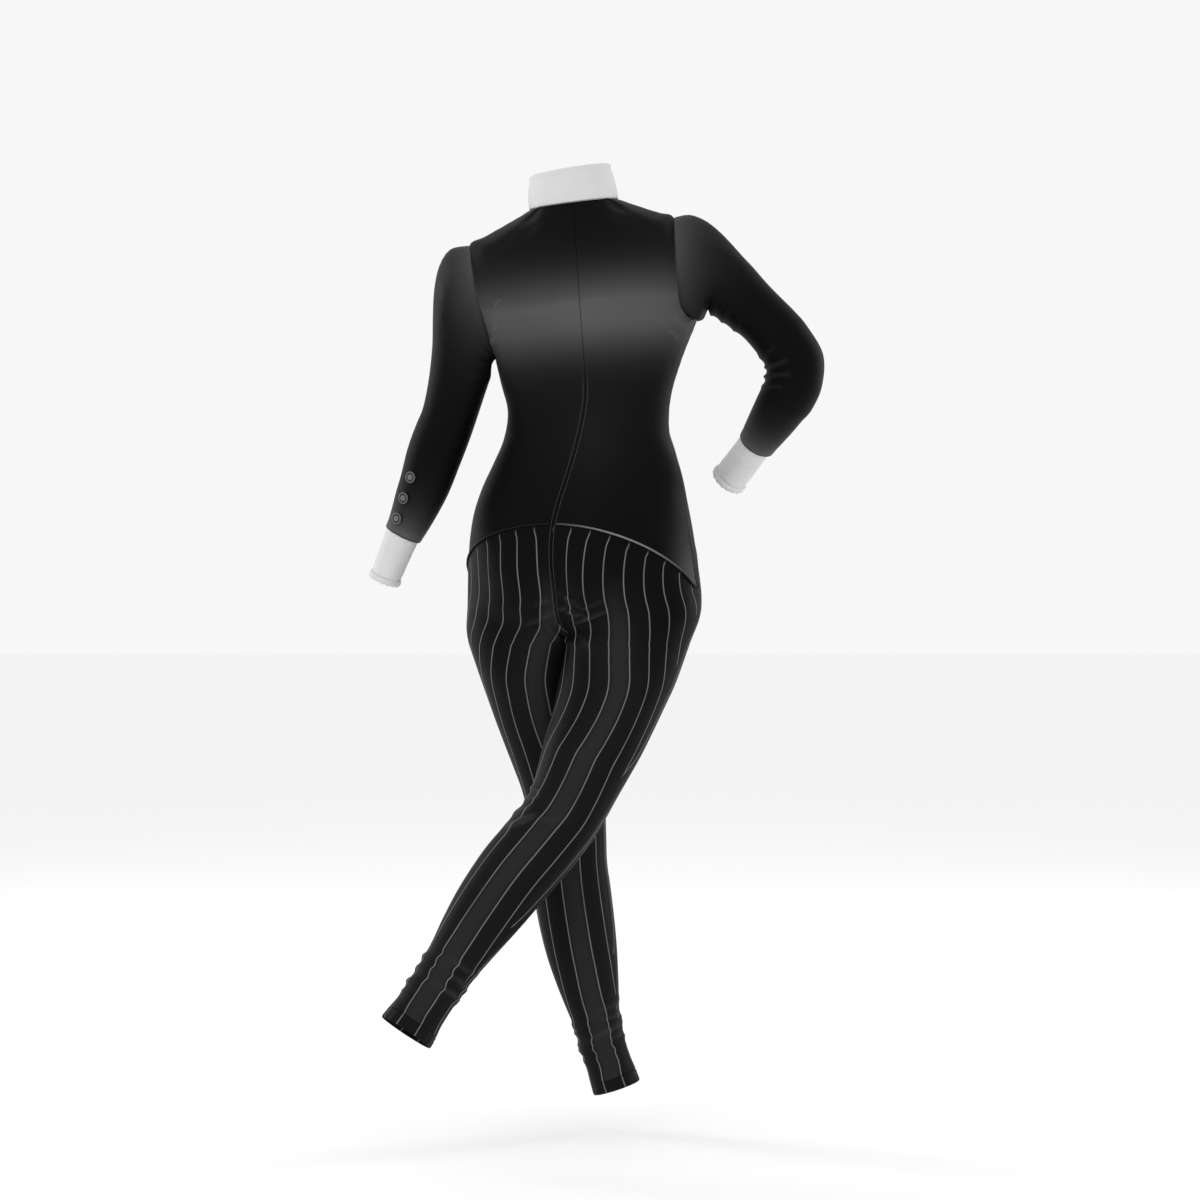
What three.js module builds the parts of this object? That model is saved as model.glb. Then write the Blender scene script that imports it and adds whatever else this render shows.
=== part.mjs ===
// Full-length tuxedo-style cheer uniform, in the shape it takes when it is worn.
// Millimetres, +Z up. The origin is the middle of the neck opening, the wearer faces +Y,
// and +X is the wearer's right. The wearer stands on the left leg with the right leg
// crossed behind it and the right hand on the hip.
import * as THREE from 'three';

// ---- driving dimensions -------------------------------------------------------------
const FABRIC = 1.2;              // thickness of the stretch fabric
const SEAM = 0.22;               // each edge stays this far from the seam line
const CHEST_HALF = 158;          // half width of the bodice at the shoulder blades
const WAIST_HALF = 122;
const HIP_HALF = 184;
const NECK_HALF = 66;            // neck opening, half width
const NECK_FRONT_DROP = 48;      // front of the neck opening, below its back
const SHOULDER_TIP = 150;        // shoulder seam, from the middle to the armhole
const UNDERARM_DROP = 222;       // underarm, below the neck opening
const WAIST_DROP = 330;
const HEM_BACK_DROP = 488;       // jacket hem at the centre back
const HEM_SIDE_DROP = 582;       // jacket hem at the side seams
const HEM_FRONT_DROP = 372;      // jacket hem where the fronts meet
const CROTCH_DROP = 668;
const COLLAR_HEIGHT = 52;
const COLLAR_TOP_HALF = 58;
const COLLAR_TOP_DEPTH = 57;      // front to back, halved
const COLLAR_THICK = 2.2;
const COLLAR_SEAM = 0.83;        // from the neck edge of the bodice up to the collar
const LAPEL_WIDTH = 46;
const LAPEL_DROP = 78;           // where the lapels start, below the neck opening
const SHIRT_HALF = 50;           // half width of the shirt front at the neck
const FASTEN_DROP = 300;         // where the lapels meet
const CUFF_THICK = 1.6;
const CUFF_TUCK = 9;             // length of shirt cuff inside the sleeve
const CUFF_BAND = 10;
const ANKLE_BAND = 18;
const PIPING_RADIUS = 1.5;
const BUTTON_RADIUS = 9;
const BUTTON_HEIGHT = 5.5;
const BUTTON_PITCH = 35;
const BUTTONS = 3;
const TAPE_WIDTH = 7;
const TEETH_WIDTH = 2.2;
const SLIDER = { width: 8, length: 11, height: 4.2 };
const PULL = { width: 5, length: 24, thick: 1.2 };
const CLEAR = 0.3;

// ---- grid sizes ---------------------------------------------------------------------
const SHOULDER_ROWS = 4;
const ARMHOLE_ROWS = 7;
const SIDE_ROWS = 8;
const PANEL_COLUMNS = 7;         // the leggings use the same, so that the hem line is shared
const PELVIS_ROWS = 5;
const CROTCH_ROWS = 6;
const LEG_ROWS = 18;
const CAP_ROWS = 6;
const ARM_ROWS = { left: [2, 4, 6], right: [4, 3, 5] };   // above, across and below the elbow

// ---- small helpers ------------------------------------------------------------------
const vec = (x, y, z) => new THREE.Vector3(x, y, z);
const lerp = THREE.MathUtils.lerp;
const clamp = THREE.MathUtils.clamp;
const degrees = THREE.MathUtils.degToRad;
const power = (value, exponent) => Math.sign(value) * Math.pow(Math.abs(value), exponent);
const ease = (t) => THREE.MathUtils.smootherstep(t, 0, 1);

// A smooth function through [height, value] stations, from the top down.
function through(stations) {
  const tops = stations.map(([z]) => z);
  const slopes = stations.map(([z, value], i) => {
    const [z0, v0] = stations[Math.max(i - 1, 0)];
    const [z1, v1] = stations[Math.min(i + 1, stations.length - 1)];
    return z0 === z1 ? 0 : (v1 - v0) / (z1 - z0);
  });
  return (z) => {
    const at = clamp(z, tops[tops.length - 1], tops[0]);
    let i = tops.findIndex((top) => at >= top);
    i = clamp(i < 1 ? 1 : i, 1, tops.length - 1);
    const [z0, v0] = stations[i - 1];
    const [z1, v1] = stations[i];
    const span = z1 - z0;
    const t = (at - z0) / span;
    const t2 = t * t;
    const t3 = t2 * t;
    return v0 * (2 * t3 - 3 * t2 + 1) + v1 * (3 * t2 - 2 * t3)
      + slopes[i - 1] * span * (t3 - 2 * t2 + t) + slopes[i] * span * (t3 - t2);
  };
}

const finishes = {
  black: { color: 0x141414, roughness: 0.55, metalness: 0 },
  pinstripe: { color: 0x1b1b1c, roughness: 0.6, metalness: 0 },
  white: { color: 0xf2f2f2, roughness: 0.7, metalness: 0 },
  satin: { color: 0x1d1d1f, roughness: 0.3, metalness: 0 },
  piping: { color: 0x8a8c8e, roughness: 0.45, metalness: 0 },
  button: { color: 0x55585b, roughness: 0.3, metalness: 0 },
  nylon: { color: 0xe6e6e6, roughness: 0.4, metalness: 0 },
  metal: { color: 0xb9bcc0, roughness: 0.25, metalness: 1 },
};

const uniform = new THREE.Group();

function add(name, geometry, finish) {
  const mesh = new THREE.Mesh(geometry, new THREE.MeshStandardMaterial(finishes[finish]));
  mesh.name = name;
  uniform.add(mesh);
  return mesh;
}

// Normals of a grid of points, on the side that side = +1 or -1 picks.
function gridNormals(rows, closed, side) {
  return rows.map((row, j) => row.map((point, i) => {
    const n = row.length;
    const left = closed ? row[(i + n - 1) % n] : row[Math.max(i - 1, 0)];
    const right = closed ? row[(i + 1) % n] : row[Math.min(i + 1, n - 1)];
    const above = rows[Math.max(j - 1, 0)][i];
    const below = rows[Math.min(j + 1, rows.length - 1)][i];
    const across = vec().subVectors(right, left);
    const down = vec().subVectors(below, above);
    return across.cross(down).normalize().multiplyScalar(side);
  }));
}

// A sheet of cloth: the outer surface is the grid, the inner one lies under it.
function cloth(rows, { thick = FABRIC, closed = false, side = 1, lift = 0, normals = null } = {}) {
  const out = normals ?? gridNormals(rows, closed, side);
  const n = rows[0].length;
  const m = rows.length;
  const positions = [];
  for (const depth of [lift, lift - thick]) {
    rows.forEach((row, j) => row.forEach((point, i) => {
      const p = point.clone().addScaledVector(out[j][i], depth);
      positions.push(p.x, p.y, p.z);
    }));
  }
  const index = [];
  const inner = n * m;
  const at = (j, i) => j * n + (closed ? i % n : i);
  const quad = (a, b, c, d) => index.push(a, b, c, a, c, d);
  const columns = closed ? n : n - 1;
  for (let j = 0; j < m - 1; j += 1) {
    for (let i = 0; i < columns; i += 1) {
      quad(at(j, i), at(j, i + 1), at(j + 1, i + 1), at(j + 1, i));
      quad(inner + at(j, i), inner + at(j + 1, i), inner + at(j + 1, i + 1), inner + at(j, i + 1));
    }
  }
  for (let i = 0; i < columns; i += 1) {
    quad(at(0, i + 1), at(0, i), inner + at(0, i), inner + at(0, i + 1));
    quad(at(m - 1, i), at(m - 1, i + 1), inner + at(m - 1, i + 1), inner + at(m - 1, i));
  }
  if (!closed) {
    for (let j = 0; j < m - 1; j += 1) {
      quad(at(j, 0), at(j + 1, 0), inner + at(j + 1, 0), inner + at(j, 0));
      quad(at(j + 1, n - 1), at(j, n - 1), inner + at(j, n - 1), inner + at(j + 1, n - 1));
    }
  }
  if (side < 0) {
    for (let k = 0; k < index.length; k += 3) {
      [index[k + 1], index[k + 2]] = [index[k + 2], index[k + 1]];
    }
  }
  const geometry = new THREE.BufferGeometry();
  geometry.setAttribute('position', new THREE.Float32BufferAttribute(positions, 3));
  geometry.setIndex(index);
  return geometry;
}

// Draws the edges of a grid in from its seams.
function seamed(rows, { top = 0, bottom = 0, first = 0, last = 0 }) {
  const toward = (from, to, by) => {
    const step = vec().subVectors(to, from);
    return from.clone().addScaledVector(step.normalize(), by);
  };
  let grid = rows.map((row) => row.map((point) => point.clone()));
  grid = grid.map((row) => row.map((point, i) => {
    if (i === 0 && first) return toward(point, row[1], first);
    if (i === row.length - 1 && last) return toward(point, row[i - 1], last);
    return point;
  }));
  const m = grid.length;
  return grid.map((row, j) => row.map((point, i) => {
    if (j === 0 && top) return toward(point, grid[1][i], top);
    if (j === m - 1 && bottom) return toward(point, grid[m - 2][i], bottom);
    return point;
  }));
}

// Panels that are sewn together share one normal wherever their edges meet, so that
// their thicknesses meet in a mitre along the seam.
const panels = [];

function panel(name, grid, edges, finish, { closed = false, side = 1, normals = null } = {}) {
  const out = normals ?? gridNormals(grid, closed, side);
  panels.push({ name, grid, edges, finish, closed, side, out });
}

function sewPanels() {
  const key = (point) => [point.x, point.y, point.z].map((value) => Math.round(value * 20)).join();
  const shared = new Map();
  for (const { grid, out } of panels) {
    grid.forEach((row, j) => row.forEach((point, i) => {
      const at = key(point);
      shared.set(at, (shared.get(at) ?? vec()).add(out[j][i]));
    }));
  }
  for (const { name, grid, edges, finish, closed, side } of panels) {
    const normals = grid.map((row) => row.map((point) => shared.get(key(point)).clone().normalize()));
    add(name, cloth(seamed(grid, edges), { closed, side, normals }), finish);
  }
}

// ---- the body of the garment --------------------------------------------------------
const ROUND = 0.87;              // 2 / 2.3, a section a little squarer than an ellipse
const SIDE_Y = 6;                // the side seams run just in front of the middle
const halfWidth = through([[60, 168], [-40, 168], [-100, 165], [-150, CHEST_HALF],
  [-UNDERARM_DROP, 147], [-275, 132], [-WAIST_DROP, WAIST_HALF], [-385, 138],
  [-440, HIP_HALF - 25], [-500, HIP_HALF - 9], [-560, HIP_HALF], [-610, HIP_HALF + 5],
  [-CROTCH_DROP, HIP_HALF + 4]]);
const backDepth = through([[60, 78], [0, 80], [-50, 88], [-110, 96], [-160, 97],
  [-UNDERARM_DROP, 90], [-280, 79], [-WAIST_DROP, 74], [-385, 84], [-440, 98], [-500, 110],
  [-560, 114], [-610, 104], [-CROTCH_DROP, 84]]);
// The front fastening lies on an arc, so that its slider keeps to one circle.
const FASTENING = { y: -222, z: -238, radius: 344 };
const fasteningDepth = (z) => FASTENING.y + Math.sqrt(FASTENING.radius ** 2 - (z - FASTENING.z) ** 2);
const frontLow = through([[-FASTEN_DROP, fasteningDepth(-FASTEN_DROP)], [-WAIST_DROP, 109],
  [-385, 104], [-440, 105],
  [-500, 107], [-560, 103], [-610, 95], [-CROTCH_DROP, 84]]);
const shoulderLine = (x) => -0.47 * (x - NECK_HALF) + 0.00015 * (x - NECK_HALF) ** 2;
const SHOULDER_ROUNDING = -120;  // the shoulders begin to close in above this height
const NECK_RISE = 70;            // where the closing line would meet the middle

function closing(x, z) {
  const inner = lerp(NECK_RISE, 0, clamp(x / NECK_HALF, 0, 1) ** 2);
  const top = x < NECK_HALF ? inner : shoulderLine(x);
  const t = clamp((z - SHOULDER_ROUNDING) / (top - SHOULDER_ROUNDING), 0, 1);
  return Math.pow(1 - Math.pow(t, 2.2), 1 / 2.2);
}

function frontDepth(z) {
  const high = SIDE_Y + (fasteningDepth(z) - SIDE_Y) / closing(0, z);
  return z > -FASTEN_DROP ? high : frontLow(z);
}

const bump = (x, z, x0, z0, width, height) => Math.exp(-(((x - x0) / width) ** 2)
  - ((z - z0) / height) ** 2);

// A point of the worn surface before the wearer's posture: phi is 0 at the centre back,
// a right angle at the side seam and half a turn at the centre front.
function torso(side, phi, z) {
  const x = halfWidth(z) * power(Math.sin(phi), ROUND);
  const c = power(Math.cos(phi), ROUND);
  const back = c > 0;
  const depth = back ? backDepth(z) + SIDE_Y : frontDepth(z) - SIDE_Y;
  let y = SIDE_Y - c * depth * closing(x, z);
  if (back) {
    y -= 15 * bump(x, z, 72, -572, 52, 62) * c;
    y -= 5 * bump(x, z, 78, -140, 45, 60) * c * closing(x, z);
    y += 9 * bump(x, z, 0, -585, 16, 60);
    y += 5 * bump(x, z, 0, -370, 18, 110);
  } else {
    const offMiddle = 1 - Math.exp(-((x / 30) ** 2));
    y += 10 * bump(x, z, 72, -190, 44, 48) * -c * closing(x, z) * offMiddle;
  }
  return [side * x, y, z];
}

// The wearer's posture: the spine's sideways bend, the turn of the hips and the tilt.
const CHEST_LEAN = -0.06;        // sideways lean of the breastbone, constant down the fastening
const chestX = (z) => CHEST_LEAN * z - 2;
const spineX = through([[60, -9], [0, chestX(0)], [-90, chestX(-90)], [-180, chestX(-180)],
  [-284, chestX(-284)], [-286, chestX(-286)], [-WAIST_DROP, 16], [-400, 12], [-470, 7],
  [-540, 9], [-600, 12], [-CROTCH_DROP, 10]]);
const turn = through([[60, 0], [-200, 0], [-288, 0], [-290, 0], [-360, -9], [-430, -17],
  [-500, -23], [-570, -25], [-CROTCH_DROP, -25]]);
const tilt = through([[60, 0.17], [0, 0.128], [-240, 0.128], [-320, 0.08], [-400, 0.03],
  [-480, 0.0], [-CROTCH_DROP, 0.0]]);

function posed([x, y, z]) {
  const angle = degrees(turn(z));
  const px = x * Math.cos(angle) - y * Math.sin(angle);
  const py = x * Math.sin(angle) + y * Math.cos(angle);
  return vec(spineX(z) + px, py, z + tilt(z) * px);
}

// ---- bodice -------------------------------------------------------------------------
const angleAt = (x, z) => Math.asin(clamp(Math.pow(x / halfWidth(z), 1 / ROUND), 0, 1));

// The outer edge of a bodice panel: shoulder seam, then armhole, then side seam.
function panelEdge() {
  const edge = [];
  for (let i = 0; i <= SHOULDER_ROWS; i += 1) {
    const x = lerp(NECK_HALF, SHOULDER_TIP, i / SHOULDER_ROWS);
    const z = shoulderLine(x);
    edge.push({ phi: angleAt(x, z), z, back: lerp(0, -84, i / SHOULDER_ROWS),
      front: lerp(-NECK_FRONT_DROP, -118, i / SHOULDER_ROWS) });
  }
  const tip = edge[SHOULDER_ROWS];
  for (let i = 1; i <= ARMHOLE_ROWS; i += 1) {
    const q = (i / ARMHOLE_ROWS) * Math.PI / 2;
    const drop = Math.pow(Math.sin(q), 1.05);
    edge.push({ phi: Math.PI / 2 - (Math.PI / 2 - tip.phi) * Math.pow(Math.cos(q), 0.75),
      z: lerp(tip.z, -UNDERARM_DROP, drop),
      back: lerp(tip.back, -UNDERARM_DROP - 12, i / ARMHOLE_ROWS),
      front: lerp(tip.front, -UNDERARM_DROP + 6, i / ARMHOLE_ROWS) });
  }
  for (let i = 1; i <= SIDE_ROWS; i += 1) {
    const t = i / SIDE_ROWS;
    edge.push({ phi: Math.PI / 2, z: lerp(-UNDERARM_DROP, -HEM_SIDE_DROP, t),
      back: lerp(-UNDERARM_DROP - 12, -HEM_BACK_DROP, t),
      front: lerp(-UNDERARM_DROP + 6, -HEM_FRONT_DROP, t) });
  }
  return edge;
}

const EDGE = panelEdge();
const BACK_SWEEP = 1.7;          // how late a row leaves the centre back's height
const FRONT_SWEEP = 1.25;

const shirtHalf = (z) => {
  const t = clamp((-z - NECK_FRONT_DROP) / (FASTEN_DROP - NECK_FRONT_DROP), 0, 1);
  return lerp(SHIRT_HALF, TAPE_WIDTH + 1, t) * (t < 1 ? 1 : 0);
};

const backRow = (side, row, lastPhi = row.phi) => (u) => {
  const z = lerp(row.back, row.z, Math.pow(u, BACK_SWEEP));
  return posed(torso(side, lastPhi * u, z));
};

// The front runs from the front edge (u = 0) to the side (u = 1).
const frontHeight = (row, u) => lerp(row.front, row.z, Math.pow(u, FRONT_SWEEP));
function frontPoint(side, row, u, from) {
  const t = lerp(from, 1, u);
  return posed(torso(side, Math.PI - row.phi * t, frontHeight(row, t)));
}
function frontStart(row) {
  const z = row.front;
  const half = shirtHalf(z);
  return half > 0 ? angleAt(half, z) / row.phi : 0;
}

const steps = (n) => Array.from({ length: n + 1 }, (_, i) => i / n);
const sideName = (side) => (side > 0 ? 'right' : 'left');
const sides = [-1, 1];

const backGrid = {};
const frontGrid = {};
for (const side of sides) {
  backGrid[side] = EDGE.map((row) => steps(PANEL_COLUMNS).map(backRow(side, row)));
  frontGrid[side] = EDGE.map((row) => {
    const from = Math.min(frontStart(row), 0.92);
    return steps(PANEL_COLUMNS).map((u) => frontPoint(side, row, u, from));
  });
  const edges = { top: SEAM, bottom: SEAM, first: SEAM, last: SEAM };
  panel(`bodice_back_${sideName(side)}`, backGrid[side], edges, 'black', { side: -side });
  panel(`bodice_front_${sideName(side)}`, frontGrid[side], edges, 'black', { side });
}

// ---- sleeves ------------------------------------------------------------------------
const ARMHOLE_GAP = 1.3;         // the armhole seam, wider where the cap turns
// Middle of the sleeve and its half width, from below the underarm to the hem.
const ARMS = {
  left: [[-178, 2, -264, 45], [-187, 0, -301, 41.5], [-196, -4, -332, 40.5],
    [-208, -6, -363, 41.5], [-219, -5, -393, 40.5], [-229, -1, -424, 38.5], [-241, 4, -454, 35.5],
    [-254, 9, -485, 31], [-265, 12, -507, 27.5]],
  right: [[238, -6, -131, 47.5], [263, -13, -155, 43.5], [284, -20, -175, 41.5],
    [307, -29, -202, 42], [332, -36, -243, 43], [328, -26, -284, 42], [312, -8, -312, 38],
    [297, 12, -337, 34], [278, 34, -368, 27.5]],
};
const CUFF_ENDS = { left: [-294, 24, -578], right: [236, 70, -425] };
const CUFF_HALF = { left: 22, right: 25 };
const CUFF_EASE = { left: 0.7, right: 1.6 };   // how loosely the cuff sits in the sleeve
const CAP_LEAN = { left: -0.32, right: 0 };   // which way the sleeve leaves the shoulder
const SLEEVE_DEPTH = 1.06;       // a sleeve is a little deeper than it is wide

function ringFrame(side, direction) {
  const d = direction.clone().normalize();
  const outer = vec(-d.z, 0, d.x).multiplyScalar(side).normalize();
  const back = vec().crossVectors(d, outer).multiplyScalar(side);
  return { outer, back };
}

function ring(side, centre, direction, half, columns, depth = SLEEVE_DEPTH) {
  const { outer, back } = ringFrame(side, direction);
  return Array.from({ length: columns }, (_, k) => {
    const angle = (2 * Math.PI * k) / columns;
    return centre.clone().addScaledVector(outer, half * Math.cos(angle))
      .addScaledVector(back, half * depth * Math.sin(angle));
  });
}

function armPath(name) {
  const stations = ARMS[name];
  const curve = new THREE.CatmullRomCurve3(stations.map(([x, y, z]) => vec(x, y, z)));
  const halfAt = (t) => {
    const s = t * (stations.length - 1);
    const i = Math.min(Math.floor(s), stations.length - 2);
    return lerp(stations[i][3], stations[i + 1][3], s - i);
  };
  return { curve, halfAt };
}

function armholeLoop(side) {
  const first = SHOULDER_ROWS;
  const last = SHOULDER_ROWS + ARMHOLE_ROWS;
  const back = backGrid[side].slice(first, last + 1).map((row) => row[PANEL_COLUMNS]);
  const front = frontGrid[side].slice(first + 1, last).map((row) => row[PANEL_COLUMNS]).reverse();
  return [...back, ...front];
}

function hermite(a, b, startSlope, endSlope, t) {
  const t2 = t * t;
  const t3 = t2 * t;
  return vec()
    .addScaledVector(a, 2 * t3 - 3 * t2 + 1)
    .addScaledVector(b, 3 * t2 - 2 * t3)
    .addScaledVector(startSlope, t3 - 2 * t2 + t)
    .addScaledVector(endSlope, t3 - t2);
}

// Every sleeve row, from the armhole to the hem, and where its four lengths begin.
function sleeveRows(side) {
  const name = sideName(side);
  const { curve, halfAt } = armPath(name);
  const loop = armholeLoop(side);
  const columns = loop.length;
  const begin = curve.getPoint(0);
  const heading = curve.getTangent(0);
  const firstRing = ring(side, begin, heading, halfAt(0), columns);
  const middle = loop.reduce((sum, p) => sum.add(p), vec()).divideScalar(columns);
  const outward = vec(side, 0, CAP_LEAN[name]).normalize();
  const rows = [];
  for (let j = 0; j < CAP_ROWS; j += 1) {
    const t = j / CAP_ROWS;
    rows.push(loop.map((point, k) => {
      const length = point.distanceTo(firstRing[k]);
      const spread = vec().subVectors(point, middle).normalize().multiplyScalar(0.35);
      const start = outward.clone().add(spread).normalize().multiplyScalar(length * 1.1);
      return hermite(point, firstRing[k], start, heading.clone().multiplyScalar(length), t);
    }));
  }
  const count = ARM_ROWS[name].reduce((sum, rowCount) => sum + rowCount, 0);
  for (let j = 0; j <= count; j += 1) {
    const t = j / count;
    rows.push(ring(side, curve.getPoint(t), curve.getTangent(t), halfAt(t), columns));
  }
  return { rows, curve, halfAt, columns };
}

const sleeves = {};
for (const side of sides) {
  const name = sideName(side);
  const sleeve = sleeveRows(side);
  sleeves[name] = sleeve;
  const normals = gridNormals(sleeve.rows, true, -side);
  const cuts = [0, CAP_ROWS];
  ARM_ROWS[name].forEach((rowCount) => cuts.push(cuts[cuts.length - 1] + rowCount));
  ['cap', 'upper', 'elbow', 'fore'].forEach((part, k) => {
    const rows = sleeve.rows.slice(cuts[k], cuts[k + 1] + 1);
    const out = normals.slice(cuts[k], cuts[k + 1] + 1);
    const edges = { top: k === 0 ? ARMHOLE_GAP : SEAM, bottom: SEAM };
    panel(`sleeve_${name}_${part}`, rows, edges, 'black', { closed: true, side: -side, normals: out });
  });
}

// ---- shirt cuffs --------------------------------------------------------------------
function tubeBetween(side, from, to, halfFrom, halfTo, columns, rows) {
  const direction = vec().subVectors(to, from);
  return steps(rows).map((t) => ring(side, from.clone().lerp(to, t), direction,
    lerp(halfFrom, halfTo, t), columns, lerp(SLEEVE_DEPTH, 1.16, t)));
}

for (const side of sides) {
  const name = sideName(side);
  const { curve, halfAt, columns } = sleeves[name];
  const hem = curve.getPoint(1);
  const end = vec(...CUFF_ENDS[name]);
  const direction = vec().subVectors(end, hem).normalize();
  const along = direction.clone().lerp(curve.getTangent(1), 0.5).normalize();
  const inside = hem.clone().addScaledVector(along, -CUFF_TUCK);
  const top = halfAt(1) - FABRIC - CLEAR - CUFF_EASE[name];
  const bandStart = end.clone().addScaledVector(direction, -CUFF_BAND);
  const bottom = CUFF_HALF[name];
  const tube = tubeBetween(side, inside, bandStart, top, bottom, columns, 6);
  add(`cuff_${name}`, cloth(tube, { closed: true, side: -side, thick: CUFF_THICK }), 'white');
  const bandFrom = bandStart.clone().addScaledVector(direction, CLEAR + 0.5);
  const band = tubeBetween(side, bandFrom, end, bottom + 1, bottom + 0.6, columns, 2);
  add(`cuff_band_${name}`, cloth(band, { closed: true, side: -side, thick: CUFF_THICK + 1.4 }), 'white');
}

// ---- sleeve buttons -----------------------------------------------------------------
function buttonGeometry(radius, height) {
  const profile = [[0, 0], [radius, 0], [radius, height * 0.35], [radius * 0.9, height * 0.5],
    [radius * 0.78, height * 0.46], [radius * 0.62, height * 0.82], [radius * 0.3, height * 0.97],
    [0, height]];
  const geometry = new THREE.LatheGeometry(profile.map(([x, y]) => new THREE.Vector2(x, y)), 20);
  return geometry.rotateX(Math.PI / 2);
}

function placeOn(mesh, point, normal, lift) {
  mesh.position.copy(point).addScaledVector(normal, lift);
  mesh.quaternion.setFromUnitVectors(vec(0, 0, 1), normal);
}

// From the outer edge of each sleeve towards its back; the right one's face forwards.
const BUTTON_TURN = { left: degrees(60), right: degrees(-75) };
const LAST_BUTTON = 25;           // from the sleeve hem
const BUTTON_LIFT = { left: 1, right: 1.5 };   // its thread shank
function onSleeve(side, { curve, halfAt }, t, angle) {
  const { outer, back } = ringFrame(side, curve.getTangent(t));
  const half = halfAt(t);
  return curve.getPoint(t).addScaledVector(outer, half * Math.cos(angle))
    .addScaledVector(back, half * SLEEVE_DEPTH * Math.sin(angle));
}
for (const side of sides) {
  const name = sideName(side);
  const sleeve = sleeves[name];
  const length = sleeve.curve.getLength();
  for (let k = 0; k < BUTTONS; k += 1) {
    const fromHem = LAST_BUTTON + BUTTON_PITCH * (BUTTONS - 1 - k);
    const t = sleeve.curve.getUtoTmapping(1 - fromHem / length);
    const at = (dt, angle) => onSleeve(side, sleeve, t + dt, BUTTON_TURN[name] + angle);
    const normal = at(0.02, 0).sub(at(-0.02, 0)).cross(at(0, 0.1).sub(at(0, -0.1)))
      .multiplyScalar(-side).normalize();
    const button = add(`sleeve_button_${name}_${k + 1}`, buttonGeometry(BUTTON_RADIUS, BUTTON_HEIGHT),
      'button');
    placeOn(button, at(0, 0), normal, BUTTON_LIFT[name]);
  }
}

// ---- leggings -----------------------------------------------------------------------
// Middle of the leg and its half width, from the hip down to the ankle.
const LEGS = {
  left: [[-79, 38, -606, 97], [-71, 44, -671, 94], [-58, 50, -733, 86.5], [-46, 54, -787, 78.5],
    [-33, 58, -838, 71], [-21, 60, -888, 64], [-12, 60, -953, 59], [-10, 56, -1016, 58.5],
    [-2, 50, -1080, 59], [9, 44, -1146, 55], [21, 38, -1205, 46.5], [32, 34, -1255, 37.5],
    [44, 31, -1301, 35.5], [58, 29, -1344, 36.5]],
  right: [[90, -38, -603, 97], [80, -46, -666, 95], [63, -54, -734, 88], [47, -63, -779, 80.5],
    [29, -74, -822, 74], [12, -86, -860, 67], [-5, -98, -900, 61], [-26, -110, -938, 58],
    [-55, -122, -973, 58.5], [-91, -136, -1014, 58], [-139, -158, -1077, 52],
    [-172, -176, -1125, 43], [-198, -188, -1163, 39.5], [-225, -198, -1203, 39],
    [-239, -204, -1224, 41]],
};
const LEG_DEPTH = 1.04;
const SEAT_PULL = 4;             // columns that follow the seat seam down
const HIP_TURN = degrees(-25);
const hipIn = (side) => vec(Math.cos(HIP_TURN), Math.sin(HIP_TURN), 0).multiplyScalar(-side);

function legPath(name) {
  const stations = LEGS[name];
  const curve = new THREE.CatmullRomCurve3(stations.map(([x, y, z]) => vec(x, y, z)));
  const halfAt = through(stations.map(([, , z, half]) => [z, half]));
  return { curve, halfAt };
}
const centreAt = (name) => {
  const x = through(LEGS[name].map((s) => [s[2], s[0]]));
  const y = through(LEGS[name].map((s) => [s[2], s[1]]));
  return (z) => vec(x(z), y(z), z);
};
const leftCentre = centreAt('left');
const rightCentre = centreAt('right');

// Where the thighs press together, neither passes the plane between them.
const THIGHS_PART = -880;
const THIGHS_MEET = -790;        // from here up the plane swings to the middle of the seat
const SEAT_LEVEL = -606;         // below this the rows begin to close round each leg
const THIGH_GAP = 1.6;
function betweenLegs(z) {
  const a = leftCentre(z);
  const b = rightCentre(z);
  const normal = vec(b.x - a.x, b.y - a.y, 0).normalize();
  const middle = a.add(b).multiplyScalar(0.5);
  const seat = clamp((z - THIGHS_MEET) / (SEAT_LEVEL - THIGHS_MEET), 0, 1);
  middle.x = lerp(middle.x, spineX(z), ease(seat));
  return { middle, normal };
}

function keepApart(side, point, gap) {
  if (point.z < THIGHS_PART) return point;
  const { middle, normal } = betweenLegs(point.z);
  const apart = (point.x - middle.x) * normal.x + (point.y - middle.y) * normal.y;
  const short = gap - side * apart;
  return short > 0 ? point.addScaledVector(normal, side * short) : point;
}

function legRing(side, centre, direction, half, columns, level) {
  const d = vec(0, 0, -1).lerp(direction.clone().normalize(), level).normalize();
  const inner = hipIn(side);
  inner.addScaledVector(d, -inner.dot(d)).normalize();
  const back = vec().crossVectors(inner, d).multiplyScalar(side);
  return Array.from({ length: columns + 1 }, (_, k) => {
    const angle = (2 * Math.PI * k) / columns;
    return centre.clone().addScaledVector(inner, half * Math.cos(angle))
      .addScaledVector(back, half * LEG_DEPTH * Math.sin(angle));
  });
}

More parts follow.
